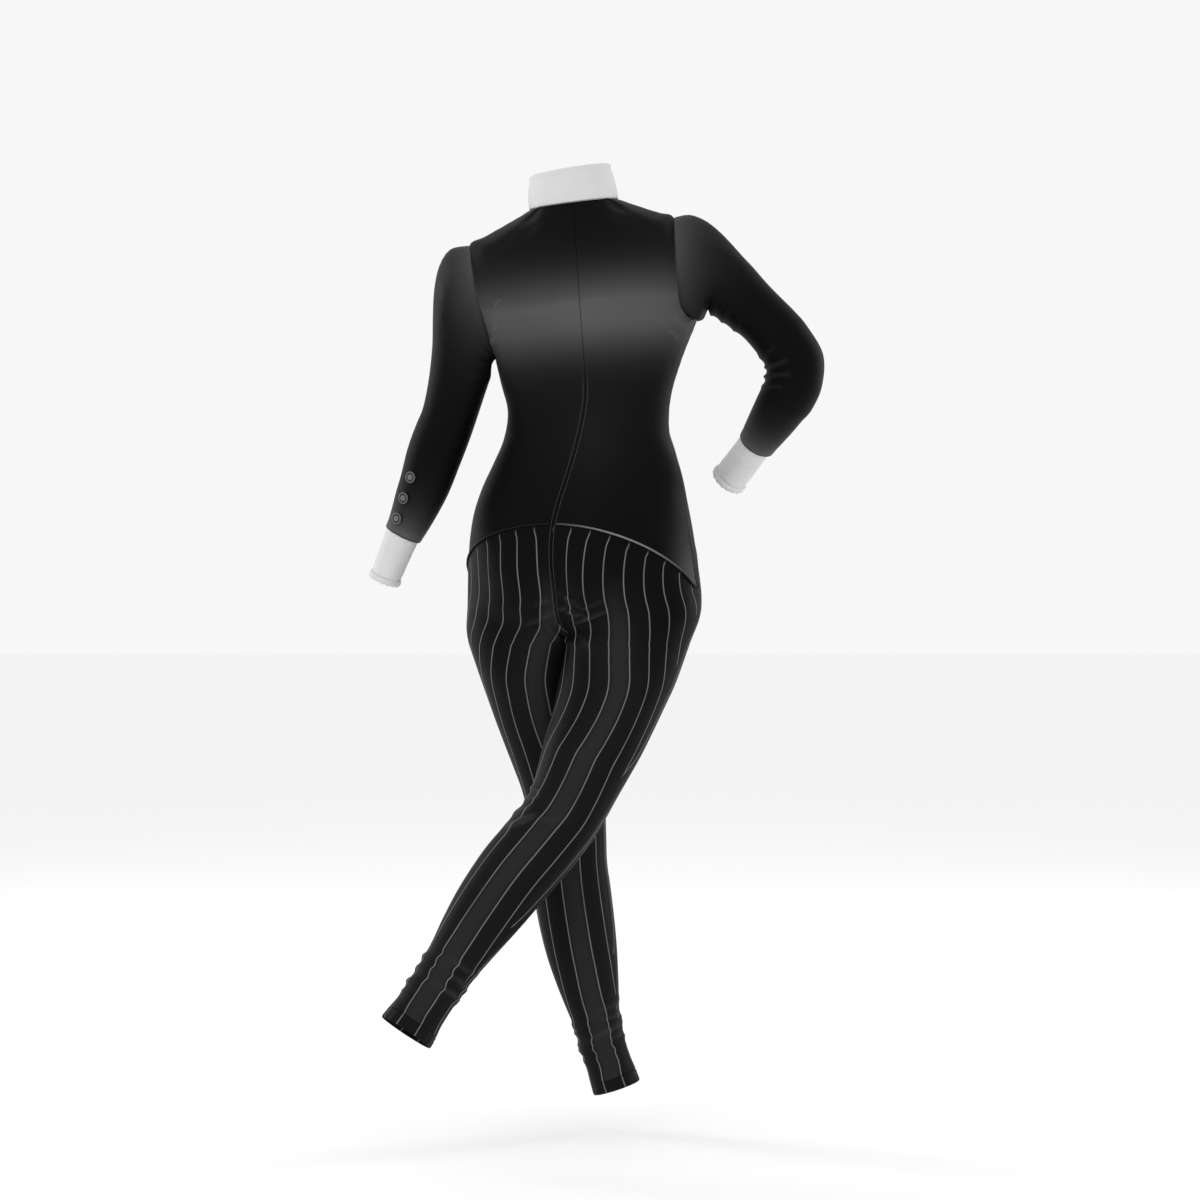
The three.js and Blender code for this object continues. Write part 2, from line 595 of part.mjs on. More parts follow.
function legGrid(side) {
  const name = sideName(side);
  const { curve, halfAt } = legPath(name);
  const columns = 2 * PANEL_COLUMNS;
  const hemRow = EDGE[EDGE.length - 1];
  const hemHeight = (u) => (u <= 0.5 ? lerp(hemRow.back, hemRow.z, Math.pow(2 * u, BACK_SWEEP))
    : lerp(hemRow.front, hemRow.z, Math.pow(2 - 2 * u, FRONT_SWEEP)));
  const pelvis = (u, z) => posed(torso(side, Math.PI * u, z));
  const rows = [];
  for (let j = 0; j <= PELVIS_ROWS; j += 1) {
    const t = j / PELVIS_ROWS;
    rows.push(steps(columns).map((u) => pelvis(u, lerp(hemHeight(u), SEAT_LEVEL, t))));
  }
  const between = betweenLegs(-CROTCH_DROP);
  const crotch = between.middle;
  const legTop = -CROTCH_DROP - 14;
  for (let j = 1; j <= CROTCH_ROWS; j += 1) {
    const t = j / CROTCH_ROWS;
    const z = lerp(SEAT_LEVEL, legTop, t);
    const blend = ease(t);
    const centre = side < 0 ? leftCentre(z) : rightCentre(z);
    const target = legRing(side, centre, vec(0, 0, -1), halfAt(z), columns, 0);
    const row = steps(columns).map((u, k) => {
      const point = pelvis(u, Math.max(z, -CROTCH_DROP)).lerp(target[k], blend);
      point.z = z;
      return keepApart(side, point, THIGH_GAP);
    });
    // The two ends of a row run along the seat seam, down to the crotch and up again in front.
    const quarter = (t * Math.PI) / 2;
    for (const [u, k] of [[0, 0], [1, columns]]) {
      const start = pelvis(u, SEAT_LEVEL);
      const end = vec(lerp(start.x, crotch.x, 1 - Math.cos(quarter)),
        lerp(start.y, crotch.y, 1 - Math.cos(quarter)),
        lerp(start.z, crotch.z, Math.sin(quarter)));
      if (j === CROTCH_ROWS) end.addScaledVector(between.normal, side * THIGH_GAP);
      const pull = vec().subVectors(end, row[k]);
      row.forEach((point, i) => {
        const near = Math.max(0, 1 - Math.abs(i - k) / SEAT_PULL) ** 2;
        if (i > 0 && i < columns) keepApart(side, point.addScaledVector(pull, near), THIGH_GAP);
      });
      row[k] = end;
    }
    rows.push(row);
  }
  const heights = LEGS[name].map((station) => station[2]);
  const next = heights.findIndex((z) => z < legTop);
  const passed = (heights[next - 1] - legTop) / (heights[next - 1] - heights[next]);
  const start = (next - 1 + passed) / (heights.length - 1);
  for (let j = 1; j <= LEG_ROWS; j += 1) {
    const t = lerp(start, 1, j / LEG_ROWS);
    const centre = curve.getPoint(t);
    const level = ease(clamp(j / 8, 0, 1));
    const row = legRing(side, centre, curve.getTangent(t), halfAt(centre.z), columns, level);
    rows.push(row.map((point) => keepApart(side, point, THIGH_GAP)));
  }
  return rows;
}

for (const side of sides) {
  const name = sideName(side);
  const rows = legGrid(side);
  const closedRows = rows.map((row) => row.slice(0, -1));
  const last = rows.length - 1;
  const normals = gridNormals(rows, false, -side);
  rows.forEach((row, j) => {
    if (j <= PELVIS_ROWS + CROTCH_ROWS) return;
    const ringNormals = gridNormals(closedRows.slice(j - 1, j + 2), true, -side)[1];
    normals[j] = [...ringNormals, ringNormals[0]];
  });
  const edges = { top: 2 * SEAM, bottom: SEAM, first: SEAM, last: SEAM };
  const half = PANEL_COLUMNS;
  const part = (from, to) => rows.map((row) => row.slice(from, to));
  const partNormals = (from, to) => normals.map((row) => row.slice(from, to));
  panel(`legging_back_${name}`, part(0, half + 1), edges, 'pinstripe',
    { side: -side, normals: partNormals(0, half + 1) });
  panel(`legging_front_${name}`, part(half), edges, 'pinstripe',
    { side: -side, normals: partNormals(half) });
  const end = closedRows[last];
  const along = closedRows[last - 1].map((point, i) => vec().subVectors(end[i], point).normalize());
  const band = [0, 0.5, 1].map((t) => end.map((point, i) => point.clone()
    .addScaledVector(along[i], SEAM + CLEAR + t * ANKLE_BAND)));
  const hem = cloth(band, { closed: true, side: -side, thick: FABRIC + 0.8, lift: 0.4 });
  add(`ankle_band_${name}`, hem, 'pinstripe');
}

sewPanels();

// ---- piping along the jacket hem ----------------------------------------------------
for (const side of sides) {
  const row = EDGE[EDGE.length - 1];
  const points = steps(14).map((t) => {
    const u = lerp(0.02, 0.985, t);
    const z = lerp(row.back, row.z, Math.pow(u, BACK_SWEEP));
    const at = (du, dz) => posed(torso(side, row.phi * (u + du), z + dz));
    const out = at(0.01, 0).sub(at(-0.01, 0)).cross(at(0, 1).sub(at(0, -1)));
    return at(0, 0).addScaledVector(out.multiplyScalar(side).normalize(), PIPING_RADIUS + CLEAR);
  });
  const circle = new THREE.Shape().absarc(0, 0, PIPING_RADIUS, 0, 2 * Math.PI);
  add(`hem_piping_${sideName(side)}`, new THREE.ExtrudeGeometry(circle, { steps: 28,
    curveSegments: 4, bevelEnabled: false, extrudePath: new THREE.CatmullRomCurve3(points) }), 'piping');
}

// ---- collar -------------------------------------------------------------------------
function neckPoint(side, u, height) {
  const phi = Math.PI * u;
  const back = u <= 0.5;
  const half = lerp(NECK_HALF, COLLAR_TOP_HALF, height) * power(Math.sin(phi), 0.95);
  const base = posed(neckEdge(side, u));
  const top = posed([side * half, -COLLAR_TOP_DEPTH * Math.cos(phi),
    (back ? 0 : -NECK_FRONT_DROP * (2 * u - 1) ** 2 * 0.8) + COLLAR_HEIGHT]);
  return base.lerp(top, height);
}

// The neck seam: the top row of the bodice, carried on across the shirt front.
function neckEdge(side, u) {
  const row = EDGE[0];
  if (u <= 0.5) return torso(side, row.phi * 2 * u, lerp(row.back, row.z, Math.pow(2 * u, BACK_SWEEP)));
  const t = 2 - 2 * u;
  return torso(side, Math.PI - row.phi * t, frontHeight(row, t));
}

// The collar takes its columns from the panels below it.
const neckFrom = Math.min(frontStart(EDGE[0]), 0.92);
const collarTurns = [
  ...steps(PANEL_COLUMNS).map((u) => u / 2),
  ...steps(PANEL_COLUMNS).map((u) => 1 - lerp(neckFrom, 1, 1 - u) / 2).slice(1),
  ...steps(3).map((u) => 1 - lerp(neckFrom, 0, u) / 2).slice(1),
];
const collarGrid = steps(4).map((v) => {
  const height = lerp(COLLAR_SEAM / COLLAR_HEIGHT, 1, v);
  const right = collarTurns.map((u) => neckPoint(1, u, height)).reverse();
  const left = collarTurns.map((u) => neckPoint(-1, u, height)).slice(1);
  return [...right, ...left];
});
add('collar', cloth(seamed(collarGrid, { first: 0.6, last: 0.6 }), { thick: COLLAR_THICK, side: 1 }),
  'white');

// ---- shirt front, lapels and zip ----------------------------------------------------
const frontSurface = (side, x, z) => posed(torso(side, Math.PI - angleAt(x, z), z));
const frontOut = (side, x, z) => {
  const dx = frontSurface(side, x + 1, z).sub(frontSurface(side, Math.max(x - 1, 0), z));
  const dz = frontSurface(side, x, z + 1).sub(frontSurface(side, x, z - 1));
  return dx.cross(dz).multiplyScalar(-side).normalize();
};
const ZIP_TOP = -NECK_FRONT_DROP - 6;
const ZIP_BOTTOM = -FASTEN_DROP + 14;
const SHIRT_LIFT = -1.8;         // the shirt front lies under the jacket's

// A strip on the front: it runs down from one height to another between two half widths.
function frontStrip(side, top, bottom, inner, outer, rows, columns, lift) {
  return steps(rows).map((v) => steps(columns).map((u) => {
    const z = lerp(top, bottom, v);
    const x = lerp(inner(z), outer(z), u);
    return frontSurface(side, x, z).addScaledVector(frontOut(side, x, z), lift);
  }));
}

// Height of the top row of the bodice at a given distance from the middle.
function neckHeight(x) {
  const row = EDGE[0];
  let low = 0;
  let high = 1;
  for (let k = 0; k < 30; k += 1) {
    const t = (low + high) / 2;
    const point = torso(1, Math.PI - row.phi * t, frontHeight(row, t));
    if (point[0] < x) low = t; else high = t;
  }
  return frontHeight(row, low);
}

for (const side of sides) {
  const name = sideName(side);
  const inner = SLIDER.width / 2 + 0.8;
  const rows = steps(12).map((v) => steps(3).map((u) => {
    const z0 = lerp(-NECK_FRONT_DROP, -FASTEN_DROP, v);
    const limit = Math.max(shirtHalf(z0 + 0.01), inner + 4);
    const x = lerp(inner, limit - 1, u);
    const z = v === 0 ? neckHeight(x) - 0.5 : lerp(neckHeight(x) - 0.5, -FASTEN_DROP, v);
    return frontSurface(side, x, z).addScaledVector(frontOut(side, x, z), SHIRT_LIFT);
  }));
  add(`shirt_front_${name}`, cloth(rows, { side }), 'white');

  const lapelInner = (z) => shirtHalf(z) + 0.5;
  const lapelOuter = (z) => {
    const t = clamp((-z - LAPEL_DROP) / (FASTEN_DROP - LAPEL_DROP), 0, 1);
    return shirtHalf(z) + 2 + (LAPEL_WIDTH - 2) * Math.sin(Math.PI * Math.pow(1 - t, 0.7)) ** 0.6
      * (1 - 0.55 * t);
  };
  const lapel = frontStrip(side, -LAPEL_DROP, -FASTEN_DROP + 3, lapelInner, lapelOuter, 12, 3,
    FABRIC + CLEAR + 0.35);
  add(`lapel_${name}`, cloth(lapel, { side }), 'satin');

  const tape = frontStrip(side, ZIP_TOP, ZIP_BOTTOM, () => TEETH_WIDTH + 0.3,
    () => TAPE_WIDTH + 2, 14, 1, -3.4);
  add(`zip_tape_${name}`, cloth(tape, { side, thick: 0.6 }), 'nylon');
  const teeth = frontStrip(side, ZIP_TOP, ZIP_BOTTOM, () => 0.2, () => TEETH_WIDTH, 14, 1, -2.2);
  add(`zip_teeth_${name}`, cloth(teeth, { side, thick: 1.6 }), 'nylon');
}

// A frame on the centre front: outwards, across and down the fastening's arc.
function zipFrame(z) {
  const point = frontSurface(1, 0, z);
  const down = frontSurface(1, 0, z - 1).sub(frontSurface(1, 0, z + 1)).normalize();
  const across = vec(1, 0, -CHEST_LEAN).normalize();
  const out = vec().crossVectors(across, down).normalize();
  return { point, out, matrix: new THREE.Matrix4().makeBasis(across.negate(), out, down) };
}

function onZip(name, geometry, z, lift, finish) {
  const { point, out, matrix } = zipFrame(z);
  const mesh = add(name, geometry, finish);
  mesh.position.copy(point).addScaledVector(out, lift);
  mesh.quaternion.setFromRotationMatrix(matrix);
}

function roundedPlate(width, length, thick, radius, hole) {
  const shape = new THREE.Shape();
  const w = width / 2;
  shape.moveTo(-w + radius, 0).lineTo(w - radius, 0).quadraticCurveTo(w, 0, w, radius)
    .lineTo(w, length - radius).quadraticCurveTo(w, length, w - radius, length)
    .lineTo(-w + radius, length).quadraticCurveTo(-w, length, -w, length - radius)
    .lineTo(-w, radius).quadraticCurveTo(-w, 0, -w + radius, 0);
  if (hole) {
    shape.holes.push(new THREE.Path().absellipse(0, hole.at, hole.wide, hole.tall, 0, 2 * Math.PI));
  }
  const geometry = new THREE.ExtrudeGeometry(shape,
    { depth: thick, bevelEnabled: false, curveSegments: 5 });
  return geometry.rotateX(Math.PI / 2).translate(0, thick, 0);
}

const SLIDER_Z = ZIP_TOP - 12;
const TEETH_TOP = -2.2;          // outer face of the teeth, from the surface of the front
onZip('zip_slider', roundedPlate(SLIDER.width, SLIDER.length, SLIDER.height, 2.4, null),
  SLIDER_Z, TEETH_TOP + CLEAR, 'metal');
const pullPlate = roundedPlate(PULL.width, PULL.length, PULL.thick, 1.6,
  { at: PULL.length - 6, wide: 1.2, tall: 2.6 });
onZip('zip_pull', pullPlate, SLIDER_Z - 3, TEETH_TOP + SLIDER.height + 2 * CLEAR, 'metal');
for (const side of sides) {
  const stop = new THREE.BoxGeometry(1.8, 1.8, 3).translate(side * 1.2, 0.9, 0);
  onZip(`zip_top_stop_${sideName(side)}`, stop, ZIP_TOP - 2.5, TEETH_TOP + CLEAR, 'metal');
}
onZip('zip_bottom_stop', new THREE.BoxGeometry(4.4, 1.8, 4).translate(0, 0.9, 0),
  ZIP_BOTTOM + 3, TEETH_TOP + CLEAR, 'metal');

// ---- jacket button where the lapels meet --------------------------------------------
{
  const { point, out } = zipFrame(-FASTEN_DROP - 7);
  const button = add('jacket_button', buttonGeometry(BUTTON_RADIUS + 2, BUTTON_HEIGHT), 'button');
  placeOn(button, point, out, FABRIC - CLEAR);
}

// ---- hook and eye inside the front of the collar ------------------------------------
const HOOK_TURN = 0.955;          // round the collar, from its centre back to its ends
const loopShape = (radius, wire, from, to) => {
  const shape = new THREE.Shape();
  shape.absarc(0, 0, radius + wire, from, to, false);
  shape.absarc(0, 0, radius, to, from, true);
  return new THREE.ExtrudeGeometry(shape, { depth: wire, bevelEnabled: false, curveSegments: 10 });
};
// Each lies just inside the collar's lining, the eye a little closer than the hook.
for (const [piece, side, radius, inside] of [['collar_hook', 1, 2, 0.4], ['collar_eye', -1, 2.4, -0.1]]) {
  const seat = neckPoint(side, HOOK_TURN, 0.86);
  const geometry = loopShape(radius, 0.9, 0.35, 2 * Math.PI - 0.35);
  geometry.rotateX(Math.PI / 2).rotateZ(side > 0 ? Math.PI : 0);
  const mesh = add(piece, geometry, 'metal');
  mesh.position.copy(seat).add(vec(side * 0.4, -COLLAR_THICK - inside, 0));
}

export default uniform;
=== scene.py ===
"""The cheer uniform's fabric, seams, trims and fastenings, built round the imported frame."""
import copy
import math

import bpy
import numpy as np
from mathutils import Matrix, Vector


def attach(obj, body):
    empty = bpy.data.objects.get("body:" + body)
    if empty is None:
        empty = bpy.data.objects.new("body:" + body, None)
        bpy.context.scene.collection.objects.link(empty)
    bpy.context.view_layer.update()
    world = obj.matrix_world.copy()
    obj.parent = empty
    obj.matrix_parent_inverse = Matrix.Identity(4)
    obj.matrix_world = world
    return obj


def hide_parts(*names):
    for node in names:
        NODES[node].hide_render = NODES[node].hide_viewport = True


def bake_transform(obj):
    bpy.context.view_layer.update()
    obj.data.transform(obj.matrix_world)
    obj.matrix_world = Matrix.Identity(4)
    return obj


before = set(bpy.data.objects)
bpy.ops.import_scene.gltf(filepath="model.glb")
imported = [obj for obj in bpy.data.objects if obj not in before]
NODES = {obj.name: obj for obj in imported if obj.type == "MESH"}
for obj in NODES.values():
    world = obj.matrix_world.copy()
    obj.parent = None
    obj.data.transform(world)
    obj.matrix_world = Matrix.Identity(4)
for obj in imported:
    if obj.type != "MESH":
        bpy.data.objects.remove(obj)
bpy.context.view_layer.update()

MM = 0.001
FABRIC = 0.9 * MM                 # thickness that the cloth is shown with
CAD_CLOTH = 1.2 * MM              # thickness of most CAD panels
EASE = 0.97                       # cut size over worn size, as for a stretch knit
STRIPE_PITCH = 31 * MM
STITCH_AT = 3.5 * MM              # from a seam to the stitches beside it
SEWN_STRIP = 9 * MM               # the strip beside a seam that the stitches are drawn in
SIDES = ("left", "right")
OTHER = {"left": "right", "right": "left"}   # +X is the wearer's right


# ---- the stage
FLOOR_Z, FLOOR_HALF = -1.43, 14
CAMERA_AT, CAMERA_TO = (0.038, -5.5, -0.4), (0.038, 0, -0.607)
SENSOR, LENS = 36, 107.9
WORLD_LIGHT, FLOOR_GREY = 0.93, 0.96
# Area lights: name, place, size, power, and height where it isn't square.
LIGHTS = (("key", (-2.2, -3.2, 1.8), 1.6, 14, None), ("fill", (3.2, -2.6, 0.6), 1.8, 5, None),
          ("rim_left", (-2.8, 1.6, 0.2), 0.8, 30, 2.6),
          ("rim_right", (2.8, 1.8, 0.2), 0.8, 24, 2.6))
LIT_POINT = (0, 0, -0.6)


def aim(obj, target):
    obj.rotation_mode = "QUATERNION"
    obj.rotation_quaternion = (Vector(target) - obj.location).to_track_quat("-Z", "Y")


def area_light(name, place, size, power, height):
    data = bpy.data.lights.new(name, "AREA")
    data.energy = power
    data.size = size
    if height:
        data.shape = "RECTANGLE"
        data.size_y = height
    light = bpy.data.objects.new(name, data)
    bpy.context.scene.collection.objects.link(light)
    light.location = place
    aim(light, LIT_POINT)


def build_stage():
    scene = bpy.context.scene
    camera = bpy.data.objects.new("camera", bpy.data.cameras.new("camera"))
    scene.collection.objects.link(camera)
    camera.location = CAMERA_AT
    aim(camera, CAMERA_TO)
    camera.data.sensor_width = SENSOR
    camera.data.lens = LENS
    camera.data.clip_end = 100
    scene.camera = camera
    scene.view_settings.view_transform = "Standard"

    world = bpy.data.worlds.new("studio")
    world.use_nodes = True
    world.node_tree.nodes["Background"].inputs[0].default_value = (1, 1, 1, 1)
    world.node_tree.nodes["Background"].inputs[1].default_value = WORLD_LIGHT
    scene.world = world

    mesh = bpy.data.meshes.new("floor")
    mesh.from_pydata([(x * FLOOR_HALF, y * FLOOR_HALF, FLOOR_Z)
                      for x, y in ((-1, -1), (1, -1), (1, 1), (-1, 1))], [], [(0, 1, 2, 3)])
    floor = bpy.data.objects.new("floor", mesh)
    scene.collection.objects.link(floor)
    paint = bpy.data.materials.new("floor")
    paint.use_nodes = True
    shader = paint.node_tree.nodes["Principled BSDF"]
    shader.inputs["Base Color"].default_value = (FLOOR_GREY, FLOOR_GREY, FLOOR_GREY, 1)
    shader.inputs["Roughness"].default_value = 0.8
    mesh.materials.append(paint)

    for light in LIGHTS:
        area_light(*light)


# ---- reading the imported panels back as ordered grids
def welded(node):
    """The node's points and triangles, with equal points made one."""
    mesh = NODES[node].data
    points = np.array([v.co for v in mesh.vertices], float)
    _, first, back = np.unique(np.round(points * 1e6).astype(np.int64), axis=0,
                               return_index=True, return_inverse=True)
    mesh.calc_loop_triangles()
    triangles = np.array([t.vertices for t in mesh.loop_triangles])
    return points[first], back.reshape(-1)[triangles]


def edges_of(triangle):
    a, b, c = triangle
    return [frozenset((a, b)), frozenset((b, c)), frozenset((c, a))]


def faces_by_edge(faces):
    by_edge = {}
    for k, t in enumerate(faces):
        for e in edges_of(t):
            by_edge.setdefault(e, []).append(k)
    return by_edge


def outer_surface(points, triangles, thick):
    """The triangles of the shell's larger face, without its rims."""
    ends = points[triangles[:, [1, 2, 0]]]
    length = np.linalg.norm(points[triangles] - ends, axis=2)
    faces = [tuple(int(v) for v in t) for t in
             triangles[~(np.abs(length - thick) < 0.02 * MM).any(axis=1)]]
    by_edge = faces_by_edge(faces)
    groups, seen = [], set()
    for k in range(len(faces)):
        if k in seen:
            continue
        group, todo = [], [k]
        seen.add(k)
        while todo:
            here = todo.pop()
            group.append(here)
            for e in edges_of(faces[here]):
                for other in by_edge[e]:
                    if other not in seen:
                        seen.add(other)
                        todo.append(other)
        groups.append([faces[i] for i in group])
    groups = [g for g in groups if len(g) > 8]

    def area(group):
        p = points[np.array(group)]
        return np.linalg.norm(np.cross(p[:, 1] - p[:, 0], p[:, 2] - p[:, 0]), axis=1).sum()
    return max(groups, key=area)


def walk(points, faces, row, rows):
    """Row after row of the grid, from its first row of points. Each square is split from its
    first corner, so the triangle on an edge gives the next row's second point, and its
    neighbour gives the first."""
    by_edge = faces_by_edge(faces)
    used = set()

    def across(a, b):
        k = next((k for k in by_edge.get(frozenset((a, b)), []) if k not in used), None)
        if k is None:
            return None
        used.add(k)
        return next(v for v in faces[k] if v != a and v != b)
    grid = [list(row)]
    closed = row[0] == row[-1]
    for _ in range(rows - 1):
        here, below = grid[-1], []
        for i in range(len(here) - 1):
            c = across(here[i], here[i + 1])
            d = across(here[i], c) if c is not None else None
            if d is None:
                return None
            below.append(d)
            last = c
        below.append(below[0] if closed else last)
        grid.append(below)
    return np.array([[points[v] for v in r] for r in grid])


def rims(faces):
    """The boundary of a surface, as loops of points in order."""
    near = {}
    for e, on in faces_by_edge(faces).items():
        if len(on) == 1:
            a, b = e
            near.setdefault(a, []).append(b)
            near.setdefault(b, []).append(a)
    loops, seen = [], set()
    for start in sorted(near):
        if start in seen:
            continue
        loop, last = [start], None
        seen.add(start)
        while True:
            step = [v for v in near[loop[-1]] if v != last and v not in seen]
            if not step:
                break
            last = loop[-1]
            loop.append(step[0])
            seen.add(step[0])
        loops.append(loop)
    return loops


def panel(node, rows, columns, thick=CAD_CLOTH):
    """The outer grid of a panel, as rows x columns points, from its highest corner."""
    points, triangles = welded(node)
    faces = outer_surface(points, triangles, thick)
    if len(faces) != 2 * (rows - 1) * (columns - 1):
        raise RuntimeError(f"{node} has {len(faces)} outer triangles")
    loop = rims(faces)[0]
    count = {v: sum(v in t for t in faces) for v in loop}
    first = max((v for v in loop if count[v] == 2), key=lambda v: points[v][2])
    at = loop.index(first)
    loop = loop[at:] + loop[:at]
    for turn in (loop, [loop[0]] + loop[:0:-1]):
        if count[turn[columns - 1]] == 1 and all(count[v] == 3 for v in turn[1:columns - 1]):
            grid = walk(points, faces, turn[:columns], rows)
            if grid is not None:
                return grid
    raise RuntimeError(f"{node} has no grid of {rows} by {columns}")


def tube(node, rows, columns, thick, near):
    """The outer grid of a tube, rows x columns points, from its end nearest to a ring of points
    and from the point nearest to that ring's first."""
    points, triangles = welded(node)
    faces = outer_surface(points, triangles, thick)
    if len(faces) != 2 * (rows - 1) * columns:
        raise RuntimeError(f"{node} has {len(faces)} outer triangles")
    ring = min(rims(faces), key=lambda loop: np.linalg.norm(points[loop].mean(0) - near.mean(0)))
    at = min(range(len(ring)), key=lambda i: np.linalg.norm(points[ring[i]] - near[0]))
    ring = ring[at:] + ring[:at]
    best = None
    for turn in (ring, [ring[0]] + ring[:0:-1]):
        grid = walk(points, faces, turn + turn[:1], rows)
        if grid is None:
            continue
        length = np.linalg.norm(grid[1:] - grid[:-1], axis=2).sum()
        if best is None or length < best[0]:
            best = (length, grid[:, :-1])
    return best[1]


# ---- fine cloth surfaces
def spline(count, at, closed=False, slope=False):
    """Weights of a smooth line through count points, with a spare point at each open end."""
    weights = np.zeros((len(at), count if closed else count + 2))
    for k, u in enumerate(at):
        i = min(int(u), count - (1 if closed else 2))
        t = u - i
        if slope:
            basis = (-1.5 * t * t + 2 * t - 0.5, 4.5 * t * t - 5 * t,
                     -4.5 * t * t + 4 * t + 0.5, 1.5 * t * t - t)
        else:
            basis = (-0.5 * t ** 3 + t * t - 0.5 * t, 1.5 * t ** 3 - 2.5 * t * t + 1,
                     -1.5 * t ** 3 + 2 * t * t + 0.5 * t, 0.5 * t ** 3 - 0.5 * t * t)
        for j, b in enumerate(basis):
            weights[k, (i - 1 + j) % count if closed else i + j] += b
    return weights


SEAM_STEPS = np.array([0, 0.25, 0.55, 0.9, 1.4, 2.0, 2.6, 3.05, 3.5, 3.95, 4.5, 5.4]) * MM


def samples(lengths, spacing, fine_start=False, fine_end=False):
    """Where to sample a line of cells, closer together next to a seam."""
    at = [0.0]
    for i, length in enumerate(lengths):
        steps = max(1, int(round(length / spacing)))
        at += [i + (k + 1) / steps for k in range(steps)]
    at = np.array(at)
    total = len(lengths)
    if fine_start:
        near = SEAM_STEPS / lengths[0]
        at = np.concatenate([near, at[at > near[-1] + 0.4 * (near[-1] - near[-2])]])
    if fine_end:
        near = total - SEAM_STEPS / lengths[-1]
        at = np.concatenate([at[at < near[-1] - 0.4 * (near[-2] - near[-1])], near[::-1]])
    return at


def least(*distances):
    return np.minimum.reduce(distances)


def with_ends(grid, before=None, after=None, axis=1):
    """The grid with a spare line on each side: its neighbour's, or its own carried on."""
    first, second = np.take(grid, 0, axis), np.take(grid, 1, axis)
    last, inner = np.take(grid, -1, axis), np.take(grid, -2, axis)
    before = 2 * first - second if before is None else before
    after = 2 * last - inner if after is None else after
    return np.concatenate([np.expand_dims(before, axis), grid, np.expand_dims(after, axis)], axis)


def rim_curve(distance, depth=0.8, width=2.0):
    """The turn of the cloth down into a seam, by distance from it; depth and width in mm."""
    t = np.clip(distance / (width * MM), 0, 1)
    return -depth * MM * (1 - np.sqrt(1 - (1 - t) ** 2))


def ridge(distance, at, height, width=0.5 * MM):
    return height * bell(distance, at, width)


def unit(vectors):
    length = np.linalg.norm(vectors, axis=-1, keepdims=True)
    return vectors / np.maximum(length, 1e-12)


